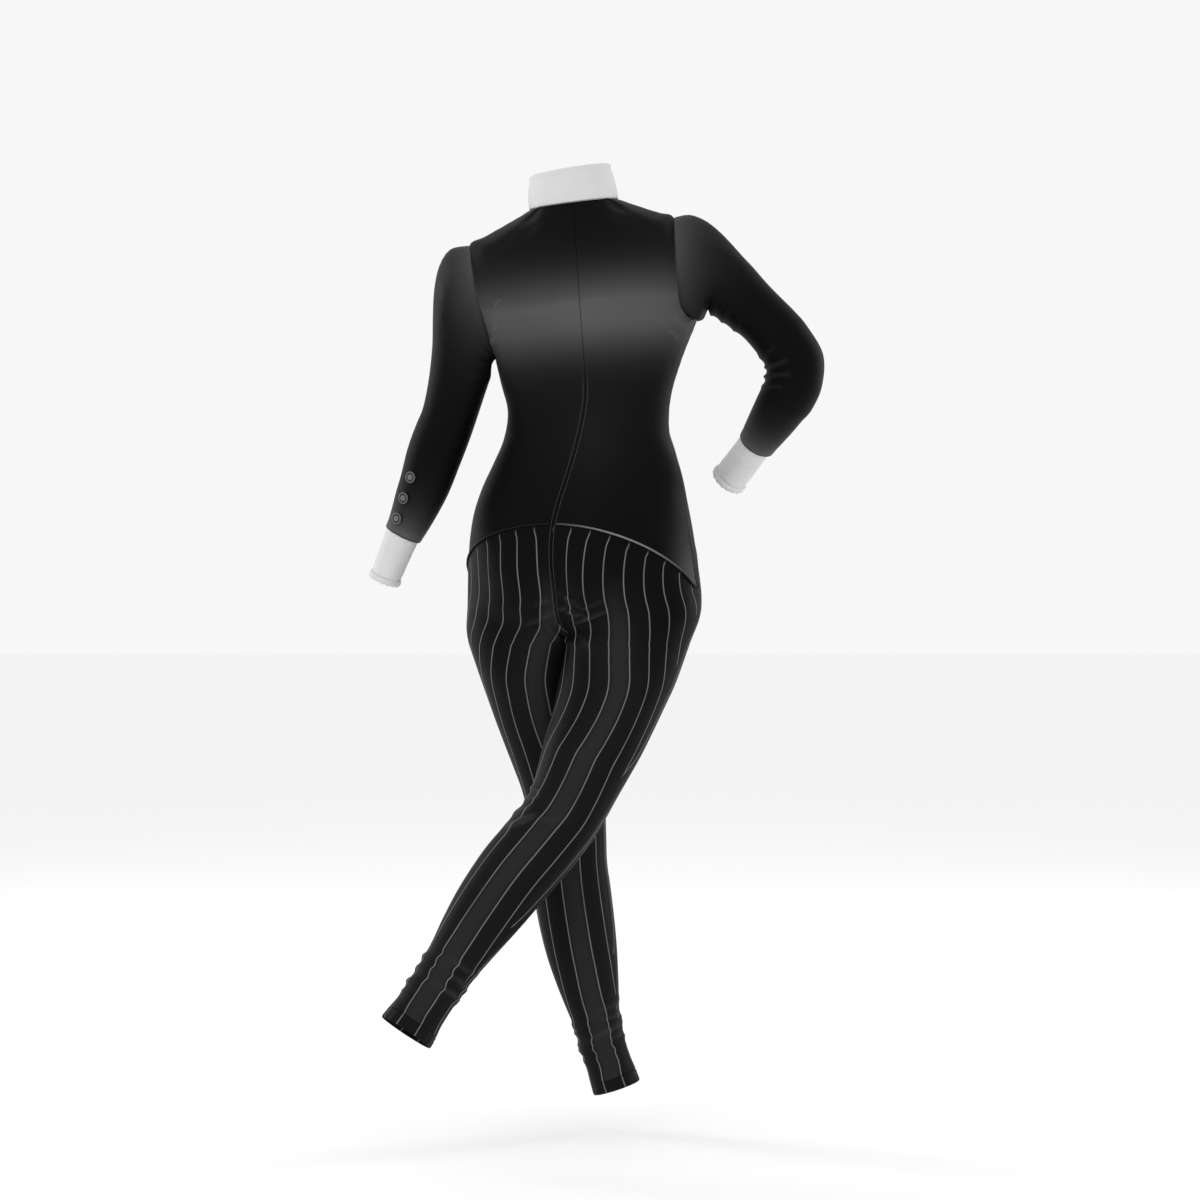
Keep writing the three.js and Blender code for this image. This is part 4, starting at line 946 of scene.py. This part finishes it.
# ---- leggings
HEM_GRAIN = {}
GRAIN = {"left": 0.014, "right": 0.107}   # from the centre back to the grain line, along the hem
ANKLE_FOLDS = {
    "right": [(0.034, 1.2, 0.9, 4.0, 1.6, 4), (0.048, 0.2, 0.9, 4.5, 3.4, -3),
              (0.062, 2.9, 0.8, 4.5, 2.6, 3), (0.070, 0.1, 0.8, 4.2, 3.0, 4),
              (0.082, 3.1, 0.9, 4.5, 2.8, -3), (0.092, 0.4, 1.0, 4.5, 2.6, -5),
              (0.104, 2.6, 1.0, 5.0, 1.8, 4), (0.060, 1.6, 1.2, 5.0, 1.2, 8),
              (0.055, 4.6, 1.4, 5.0, 2.0, -5), (0.080, 4.9, 1.2, 5.0, 1.8, 5)],
    "left": [(0.036, 2.9, 0.9, 4.0, 1.6, 4), (0.050, 2.8, 0.9, 4.5, 3.0, -4),
             (0.064, 3.2, 0.9, 4.2, 3.0, 4), (0.078, 3.0, 0.9, 4.5, 2.6, -3),
             (0.092, 2.8, 1.0, 4.8, 2.2, 4), (0.058, 0.2, 0.9, 4.2, 2.6, 4),
             (0.074, 0.1, 0.9, 4.5, 2.8, -4), (0.090, 0.3, 0.9, 4.5, 2.2, 5),
             (0.108, 0.4, 1.0, 5.0, 1.6, -5), (0.066, 1.6, 1.3, 5.5, 1.3, -9),
             (0.060, 4.6, 1.4, 5.0, 2.0, 6), (0.086, 4.9, 1.2, 5.0, 1.8, -5)],
}
KNEE_CREASES = {
    "right": [((-0.100, -0.942), (-0.058, -0.922), 4.6, 5.2),
              ((-0.094, -0.926), (-0.062, -0.910), 3.8, 3.6),
              ((-0.084, -0.906), (-0.050, -0.896), 3.4, 2.6),
              ((-0.074, -0.884), (-0.044, -0.890), 2.8, 2.6),
              ((-0.060, -0.928), (-0.008, -0.926), 4.0, 1.4)],
    "left": [],
}
SEAT_CREASES = {
    "right": [((-0.030, -0.590), (0.014, -0.616), 2.6, 2.6),
              ((-0.034, -0.612), (0.020, -0.630), 2.8, 2.8),
              ((0.000, -0.640), (0.052, -0.618), 3.0, 3.0),
              ((0.010, -0.618), (0.046, -0.602), 2.6, 2.2),
              ((0.004, -0.652), (0.030, -0.684), 3.6, 2.2),
              ((-0.014, -0.602), (0.004, -0.640), 2.4, 1.8)],
    "left": [((-0.078, -0.646), (-0.028, -0.622), 3.0, 2.4),
             ((-0.064, -0.612), (-0.026, -0.600), 2.6, 2.4),
             ((-0.046, -0.640), (-0.020, -0.668), 3.2, 2.0)],
}


def crest_light(relief):
    """A painted highlight: paler where a fold stands out."""
    return 0.2 * np.clip(relief / (2.6 * MM), 0, 1) ** 2


def leg_relief(cloth, side, angle):
    """What stands out on a leg: folds at the ankle, where the leg is a little narrower."""
    low = soft_steps(cloth.up, 0.0, 0.02)
    return (1.35 * folds(cloth.up, angle, ANKLE_FOLDS[side]) * low
            - 0.8 * MM * soft_steps(cloth.up, 0.14, 0.05) * low)


def grain_line(cloth, s, from_seam, at_hem):
    """How far the grain line lies from the outer seam: from its place at the jacket hem it
    drifts to the middle of the leg as it is seen from behind, and stays there to the ankle."""
    run = cloth.down.mean(1)
    both = np.concatenate([leg_back[s][..., 0], leg_front[s][..., 0]], 1)
    middle = np.interp(cloth.vs, np.arange(LEG_ROWS), (both.min(1) + both.max(1)) / 2)
    nearest = np.abs(cloth.points[..., 0] - middle[:, None]).argmin(1)
    line = from_seam[np.arange(len(run)), nearest]
    thigh = np.searchsorted(cloth.vs, SEAT_ROWS + 3)
    share = soft_steps(run, 0, run[thigh])
    line = np.where(np.arange(len(run)) < thigh, at_hem + (line[thigh] - at_hem) * share, line)
    near = np.exp(-((run[:, None] - run[None]) / 0.035) ** 2)
    return near @ line / near.sum(1)


def build_leggings():
    for s in SIDES:
        o = OTHER[s]
        axis = middle_of(leg_back[s], leg_front[s])
        inner_back = leg_front[s][:, -2].copy()
        inner_back[:SEAT_ROWS] = leg_back[o][:SEAT_ROWS, 1]
        inner_front = leg_back[s][:, 1].copy()
        inner_front[:SEAT_ROWS] = leg_front[o][:SEAT_ROWS, -2]
        cloth = Cloth(leg_back[s], axis, left=inner_back, right=leg_front[s][:, 1],
                      top=back[s][-2], fine="lrt")
        angle = np.pi * cloth.us[None, :] / (COLUMNS - 1) + 0 * cloth.up
        seat = soft_steps(cloth.points[..., 2], -0.72, -0.66)
        crests = (leg_relief(cloth, s, angle)
                  + strokes(cloth.points, SEAT_CREASES[s] + KNEE_CREASES[s]))
        cloth.raise_by(crests + rim_curve(cloth.along_row, 0.9)
                       + rim_curve(cloth.to_end, 0.5, 1.6)
                       + puckers(cloth.along_row, cloth.down, height=0.3 * MM))
        cloth.measure()
        grain = grain_line(cloth, s, cloth.to_end, cloth.along_row[0, -1] - GRAIN[s])
        across = grain[:, None] - cloth.to_end
        HEM_GRAIN[s] = [(cloth.us, across[-1])]
        band = soft_steps(np.abs(across), 16 * MM, 9 * MM) * soft_steps(cloth.down, 0.05, 0.16)
        glow = 0.07 * bell(across, 0, 0.05) * soft_steps(cloth.down, 0.02, 0.2)
        seam = np.minimum(cloth.along_row, cloth.to_end + 0.4 * MM)
        obj = cloth.piece(f"legging_back_{s}_cloth", PINSTRIPE, across=across,
                          slot="pinstripe_fabric", fields={
                              "shade": 0.13 * band + glow + crest_light(crests), "seam": seam,
                              "sewn": seat * (cloth.along_row < SEWN_STRIP),
                              "stripe": soft_steps(cloth.down, 0.002, 0.012)})
        stand_in(obj, "root", f"legging_back_{s}")
        declare(cloth)

        cloth = Cloth(leg_front[s], axis, left=leg_back[s][:, -2], right=inner_front,
                      top=front[s][-2][::-1], fine="lrt")
        angle = np.pi + np.pi * cloth.us[None, :] / (COLUMNS - 1) + 0 * cloth.up
        crests = leg_relief(cloth, s, angle)
        cloth.raise_by(crests + rim_curve(cloth.along_row, 0.5, 1.6)
                       + rim_curve(cloth.to_end, 0.9))
        cloth.measure()
        grain = grain_line(cloth, s, cloth.along_row, cloth.along_row[0, -1] / 2)
        across = cloth.along_row - grain[:, None]
        HEM_GRAIN[s].append((COLUMNS - 1 + cloth.us, across[-1]))
        seam = np.minimum(cloth.along_row + 0.4 * MM, cloth.to_end)
        obj = cloth.piece(f"legging_front_{s}_cloth", PINSTRIPE, across=across,
                          slot="pinstripe_fabric", fields={
                              "shade": crest_light(crests), "seam": seam, "sewn": 0.0,
                              "stripe": soft_steps(cloth.down, 0.002, 0.012)})
        stand_in(obj, "root", f"legging_front_{s}")
        declare(cloth)


# ---- sleeves, cuffs and bands
ROUND = 14
SLEEVE_ROWS = {"left": (7, 3, 5, 7), "right": (7, 5, 4, 6)}
CAP_RINGS = 7                     # rings of the sleeve cap, which follow the armhole
SPLIT = {"left": 7, "right": 9}   # the ring where the upper piece of cloth ends
# Creases on each sleeve: (x, z) at both ends, and mm wide and high.
SLEEVE_CREASES = {
    "left": [((-0.128, -0.236), (-0.150, -0.222), 3.2, 1.2),
             ((-0.134, -0.250), (-0.160, -0.240), 3.4, 1.0),
             ((-0.140, -0.270), (-0.168, -0.262), 4.0, 0.8)],
    "right": [((0.188, -0.176), (0.196, -0.156), 3.0, 2.0),
              ((0.202, -0.182), (0.214, -0.160), 3.2, 2.2),
              ((0.218, -0.188), (0.234, -0.168), 3.4, 1.8),
              ((0.238, -0.200), (0.252, -0.184), 3.6, 1.4),
              ((0.278, -0.268), (0.330, -0.262), 3.0, 3.4),
              ((0.276, -0.256), (0.322, -0.244), 3.2, 3.0),
              ((0.280, -0.280), (0.316, -0.284), 3.4, 1.8),
              ((0.274, -0.242), (0.306, -0.222), 4.2, 1.4)],
}


def facing(grid, ring):
    """The tube's rings in the same order round as another ring."""
    turned_round = grid[:, -np.arange(grid.shape[1]) % grid.shape[1]]
    gap = [np.linalg.norm(g[0, 3] - ring[3]) for g in (grid, turned_round)]
    return grid if gap[0] <= gap[1] else turned_round


def next_tube(node, rows, ring, thick=CAD_CLOTH):
    """A tube's grid, from the end nearest to a ring and in its order."""
    return facing(tube(node, rows, ROUND, thick, ring), ring)


def sleeve_grid(s):
    armhole = np.concatenate([back[s][TIP:UNDERARM + 1, -1], front[s][UNDERARM - 1:TIP:-1, -1]])
    rings = armhole[None]
    for part, rows in zip(("cap", "upper", "elbow", "fore"), SLEEVE_ROWS[s]):
        grid = next_tube(f"sleeve_{s}_{part}", rows, rings[-1])
        if part != "cap":
            grid[0] = (grid[0] + rings[-1]) / 2
        rings = np.concatenate([rings[:-1], grid])
    rings = settled(rings)
    pull = armhole - rings[0]
    rings[:CAP_RINGS] += pull * np.linspace(1, 0, CAP_RINGS)[:, None, None]
    return np.roll(rings, -ROUND // 2, axis=1)


def build_sleeve(s):
    rings = sleeve_grid(s)
    cloth = Cloth(rings, rings.mean(1), closed=True, fine="tb")
    outer = 0.5 - 0.5 * np.cos(cloth.angle)
    hem = soft_steps(cloth.up, 13 * MM, 3 * MM)
    arc = cloth.along_row
    creases = 1.4 * strokes(cloth.points, SLEEVE_CREASES[s]) * (0.15 + 0.85 * (1 - outer) ** 0.5)
    cloth.raise_by(rim_curve(cloth.down) + puckers(cloth.down, arc, height=0.18 * MM) + creases
                   + 0.5 * MM * hem + rim_curve(cloth.up, 0.5, 1.2)
                   - 0.2 * MM * bell(cloth.up, 10 * MM, 1.2 * MM))
    # The sewn edge goes on a little under the edge of the body's cloth.
    under = 1.6 * MM * unit(cloth.points[:1] - cloth.points[3:4]) - 0.3 * MM * cloth.normals[:1]
    cloth.points = cloth.points + np.exp(-(cloth.down / (2 * MM)) ** 2)[..., None] * under
    cloth.measure()
    shade = 0.88 * np.exp(-cloth.down / 0.033) * outer ** 0.8 + 1.15 * np.exp(-cloth.up / 0.026)
    # Painted highlight: a thin light line beside the armhole seam.
    shade += 0.25 * bell(cloth.down, 1.8 * MM, 1 * MM)
    # Painted highlight on the crests of the sleeve creases.
    shade += 0.1 * np.clip(creases / (2 * MM), 0, 1) ** 2
    shade = np.minimum(shade, 1) * (0.25 + 0.75 * soft_steps(cloth.up, 0.0, 4 * MM))
    seam = np.minimum(cloth.down, np.minimum(arc, cloth.to_end + 4 * MM) + 0.3 * MM)
    cut = int(np.argmin(np.abs(cloth.vs - SPLIT[s])))
    for name, rows, nodes in (("top", slice(0, cut + 1), ("cap", "upper")),
                              ("lower", slice(cut, None), ("elbow", "fore"))):
        part = cloth.part(rows)
        obj = part.piece(f"sleeve_{s}_{name}_cloth", BLACK, slot="sleeve_fabric",
                         split=(-1,) if name == "top" else (0,), fields={
            "shade": shade[rows], "seam": seam[rows], "sewn": 0.0})
        if name == "top":
            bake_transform(obj)
        else:
            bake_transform(obj)
        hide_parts(*[f"sleeve_{s}_{node}" for node in nodes])
        run = part.down[-1].max() - part.down[0].min()
        declare(part, flat=(1.02 * part.along_row.max(), run))
    return rings


def build_cuff(s, rings):
    grid = next_tube(f"cuff_{s}", 7, rings[-1], 1.6 * MM)
    cloth = Cloth(grid, grid.mean(1), closed=True, spacing=3.5 * MM)
    a = cloth.angle
    items = [(0.022, 1.0, 1.2, 5, 0.7, 6), (0.040, 4.2, 1.3, 5, 0.8, -7),
             (0.055, 2.6, 1.0, 5, 0.6, 8), (0.062, 5.6, 1.2, 5, 0.7, 5)]
    cloth.raise_by((folds(cloth.down, a, items) - 0.3 * MM) * soft_steps(cloth.down, 0.004, 0.02))
    obj = cloth.piece(f"cuff_{s}_cloth", WHITE, slot="shirt_fabric", fields=PLAIN)
    stand_in(obj, f"forearm_{s}", f"cuff_{s}")
    declare(cloth, flat=(1.02 * cloth.along_row.max(), cloth.down[-1].max()))

    band = next_tube(f"cuff_band_{s}", 3, grid[-1], 3.0 * MM)
    cloth = Cloth(band, band.mean(1), closed=True, spacing=1.8 * MM)
    arc, t = cloth.along_row, cloth.down / cloth.down[-1:]
    wave = ripples(arc, (11e-3, 1, 0), (6.3e-3, 0.5, 1.1))
    roll = np.sqrt(np.clip(1 - (2 * t - 1) ** 2, 0, 1))
    cloth.raise_by(-1.5 * MM + 1.6 * MM * roll + 0.45 * MM * wave * t
                   - 0.5 * MM * bell(cloth.down, 2.6 * MM, 0.7 * MM))
    run = unit(np.gradient(cloth.points, axis=0))
    cloth.points += run * (0.7 * MM * wave * t ** 2)[..., None]
    obj = cloth.piece(f"cuff_band_{s}_roll", WHITE, thick=1.4 * MM, slot="shirt_fabric",
                      fields=PLAIN)
    stand_in(obj, f"forearm_{s}", f"cuff_band_{s}")


def build_ankle_band(s):
    ring = np.concatenate([leg_back[s][-1], leg_front[s][-1, 1:-1]])
    grid = next_tube(f"ankle_band_{s}", 3, ring, 2.0 * MM)
    cloth = Cloth(grid, grid.mean(1), closed=True, spacing=2.2 * MM)
    arc, t = cloth.along_row, cloth.down / cloth.down[-1:]
    wave = ripples(arc, (15e-3, 1, 0.8), (9e-3, 0.6, 2.0))
    cloth.raise_by(0.3 * MM * wave * (0.4 + t) - 0.35 * MM * bell(cloth.down, 7 * MM, 0.9 * MM)
                   + rim_curve(cloth.up, 0.9, 1.8)
                   + rim_curve(cloth.down, 0.6, 1.5))
    (back_us, back_across), (front_us, front_across) = HEM_GRAIN[s]
    across = np.where(cloth.us < COLUMNS - 1, np.interp(cloth.us, back_us, back_across),
                      np.interp(cloth.us, front_us, front_across))
    # The stripes stop just short of the two leg seams.
    clear = least(np.abs(cloth.us - (COLUMNS - 1)), cloth.us, ROUND - cloth.us) > 0.35
    obj = cloth.piece(f"ankle_band_{s}_cloth", PINSTRIPE, thick=1.2 * MM, slot="pinstripe_fabric",
                      across=np.broadcast_to(across, arc.shape), fields={
                          "shade": 0.05, "seam": np.minimum(cloth.down, 1.0), "sewn": 0.0,
                          "stripe": 1.0 * clear[None, :]})
    stand_in(obj, "root", f"ankle_band_{s}")


# ---- collar, shirt front and lapels
def build_collar():
    grid = settled(panel("collar", 5, 35, 2.2 * MM))
    cloth = Cloth(grid, grid.mean(1), spacing=3 * MM, fine="lr")
    arc, down, up = cloth.along_row, cloth.down, cloth.up
    turns = 2 * np.pi * arc / arc.max()
    soft = 0.5 * np.sin(turns * 5 + 0.6) + 0.35 * np.sin(turns * 9 + 2)
    cloth.raise_by(1.3 * MM * bell(down, 3.4 * MM, 3.2 * MM) - 1.5 * MM * bell(down, 0, 1.4 * MM)
                   - 0.9 * MM * bell(down, 9 * MM, 1.5 * MM)
                   + 0.5 * MM * soft * soft_steps(up, 0, 0.015) * soft_steps(down, 0.004, 0.02)
                   + rim_curve(up, 0.7, 2.5)
                   + puckers(up, arc, pitch=12 * MM, height=0.2 * MM, reach=6 * MM)
                   + rim_curve(arc, 0.5, 1.5)
                   + rim_curve(cloth.to_end, 0.5, 1.5))
    obj = cloth.piece("collar_cloth", WHITE, thick=1.8 * MM, slot="shirt_fabric", fields={
        "shade": 0.0, "seam": up + 0.4 * MM, "sewn": 0.0})
    stand_in(obj, "root", "collar")
    declare(cloth)


def flat_axis(grid):
    return grid.mean(1) - np.array([0, 0.1, 0])


def build_front():
    for s in SIDES:
        grid = panel(f"shirt_front_{s}", 13, 4)
        cloth = Cloth(grid, flat_axis(grid), spacing=3 * MM, fine="lr")
        inner = cloth.along_row if abs(grid[6, 0, 0]) < abs(grid[6, -1, 0]) else cloth.to_end
        cloth.raise_by(rim_curve(inner, 0.4, 1.2)
                       - 0.3 * MM * bell(inner, 5 * MM, 0.8 * MM))
        obj = cloth.piece(f"shirt_front_{s}_cloth", WHITE, slot="shirt_fabric", fields=PLAIN)
        stand_in(obj, "root", f"shirt_front_{s}")
        declare(cloth)

        grid = panel(f"lapel_{s}", 13, 4)
        cloth = Cloth(grid, flat_axis(grid), spacing=3 * MM, fine="lrtb")
        edge = least(cloth.along_row, cloth.to_end, cloth.down, cloth.up)
        cloth.raise_by(rim_curve(edge, 0.6, 1.6)
                       + 0.5 * MM * soft_steps(edge, 0, 9 * MM)
                       - 0.2 * MM * bell(edge, 3.5 * MM, 0.7 * MM))
        obj = cloth.piece(f"lapel_{s}_satin", SATIN, slot="lapel_satin")
        stand_in(obj, "root", f"lapel_{s}")
        declare(cloth)

        grid = panel(f"zip_tape_{s}", 15, 2, 0.6 * MM)
        cloth = Cloth(grid, flat_axis(grid), spacing=2 * MM)
        cloth.raise_by(0.12 * MM * np.abs(np.sin(np.pi * cloth.down / (1.6 * MM))))
        obj = cloth.piece(f"zip_tape_{s}_weave", WHITE, thick=0.5 * MM, slot="zip_nylon",
                          fields=PLAIN)
        stand_in(obj, "root", f"zip_tape_{s}")
        build_coil(s)


def build_coil(s):
    """The zip's nylon coil, wound along the tape's edge."""
    grid = panel(f"zip_teeth_{s}", 15, 2, 1.6 * MM)
    if abs(grid[6, 0, 0]) > abs(grid[6, -1, 0]):
        grid = grid[:, ::-1]
    cloth = Cloth(grid, flat_axis(grid), spacing=1.5 * MM)
    run = cloth.down[:, 0]
    pitch, turn = 1.7 * MM, 12
    total = int(run[-1] / pitch) - 1
    t = np.arange(total * turn) / turn
    at = (t + 0.5 + (0.5 if s == "left" else 0)) * pitch
    row = np.interp(at, run, np.arange(len(run)))
    low = np.floor(row).astype(int).clip(0, len(run) - 2)
    part = (row - low)[:, None]
    pick = lambda a: a[low] * (1 - part) + a[low + 1] * part
    inner, outer = pick(cloth.points[:, 0]), pick(cloth.points[:, -1])
    out = pick(cloth.normals[:, 0])
    side = outer - inner
    wire = 0.32 * MM
    width = np.linalg.norm(side, axis=1, keepdims=True)
    side /= width
    sweep = 0.5 - 0.5 * np.cos(2 * np.pi * t)[:, None]
    centre = (inner + side * (wire + (width - 2 * wire) * sweep) - out * (0.8 * MM)
              + out * (0.45 * MM * np.sin(2 * np.pi * t))[:, None])
    ahead = unit(np.gradient(centre, axis=0))
    first = unit(np.cross(ahead, out))
    rings = rings_round(centre, wire, first, np.cross(first, ahead), 6)
    n, m = rings.shape[:2]
    faces = tube_faces(n, m)
    faces += [list(range(m))[::-1], [(n - 1) * m + k for k in range(m)]]
    obj = mesh_object(f"zip_coil_{s}", rings.reshape(-1, 3), faces, NYLON)
    stand_in(obj, "root", f"zip_teeth_{s}")


# ---- buttons and hardware
# Half section of a button, as shares of its radius and height, and how much painted shade each
# point takes: full in its groove, down its side and underneath.
BUTTON_PROFILE = [
    (0.0, 0.98, 0), (0.16, 0.97, 0), (0.32, 0.90, 0), (0.44, 0.80, 0), (0.52, 0.66, 0.3),
    (0.57, 0.50, 1), (0.66, 0.44, 1), (0.74, 0.50, 1), (0.78, 0.66, 0.2), (0.83, 0.76, 0),
    (0.89, 0.78, 0), (0.95, 0.70, 0), (0.99, 0.52, 0.6), (1.0, 0.30, 1), (0.97, 0.08, 1),
    (0.9, 0.0, 1), (0.0, 0.0, 1)]


def world_points(node):
    world = NODES[node].matrix_world
    return np.array([world @ v.co for v in NODES[node].data.vertices])


def build_button(node, body, outward):
    points = world_points(node)
    middle = (points.min(0) + points.max(0)) / 2
    _, _, axes = np.linalg.svd(points - points.mean(0))
    axis = axes[2]
    if (axis @ np.array(outward)) < 0:
        axis = -axis
    height = np.ptp(points @ axis)
    middle += axis * ((points @ axis).min() - middle @ axis)
    flat = points - points.mean(0)
    radius = np.linalg.norm(flat - np.outer(flat @ axis, axis), axis=1).max()
    side = unit(np.cross(axis, (0.3, 0.2, 0.9)))
    other = np.cross(axis, side)
    turns = np.linspace(0, 2 * np.pi, 40, endpoint=False)
    verts, ring = [], []
    for share, lift, groove in BUTTON_PROFILE:
        for a in turns if share else [0.0]:
            verts.append(middle + axis * height * lift
                         + radius * share * (math.cos(a) * side + math.sin(a) * other))
            ring.append(groove)
    n = len(turns)
    faces = [[0, 1 + k, 1 + (k + 1) % n] for k in range(n)]
    for j in range(len(BUTTON_PROFILE) - 3):
        a, b = 1 + j * n, 1 + (j + 1) * n
        faces += [[a + k, b + k, b + (k + 1) % n, a + (k + 1) % n] for k in range(n)]
    last = 1 + (len(BUTTON_PROFILE) - 3) * n
    faces += [[last + (k + 1) % n, last + k, len(verts) - 1] for k in range(n)]
    obj = mesh_object(f"{node}_domed", verts, faces, BUTTON)
    # The ring field paints shade into the groove, side and underside.
    write_field(obj.data, "ring", ring)
    stand_in(obj, body, node)


def build_buttons(rings):
    for s in SIDES:
        line = rings[s].mean(1)
        for k in (1, 2, 3):
            node = f"sleeve_button_{s}_{k}"
            place = world_points(node).mean(0)
            nearest = line[np.argmin(np.linalg.norm(line - place, axis=1))]
            build_button(node, f"forearm_{s}", place - nearest)
    build_button("jacket_button", "root", (0, 1, 0))


def finish_hardware():
    for node in ("zip_slider", "zip_pull", "zip_top_stop_left", "zip_top_stop_right",
                 "zip_bottom_stop", "collar_hook", "collar_eye"):
        obj = NODES[node]
        obj.data.materials.clear()
        obj.data.materials.append(NICKEL)
        bevel = obj.modifiers.new("soft_edges", "BEVEL")
        bevel.width = 0.25 * MM
        bevel.segments = 2
        bevel.limit_method = "ANGLE"


build_stage()
build_bodice()
build_leggings()
rings = {s: build_sleeve(s) for s in SIDES}
for s in SIDES:
    build_cuff(s, rings[s])
    build_ankle_band(s)
build_collar()
build_front()
build_buttons(rings)
finish_hardware()
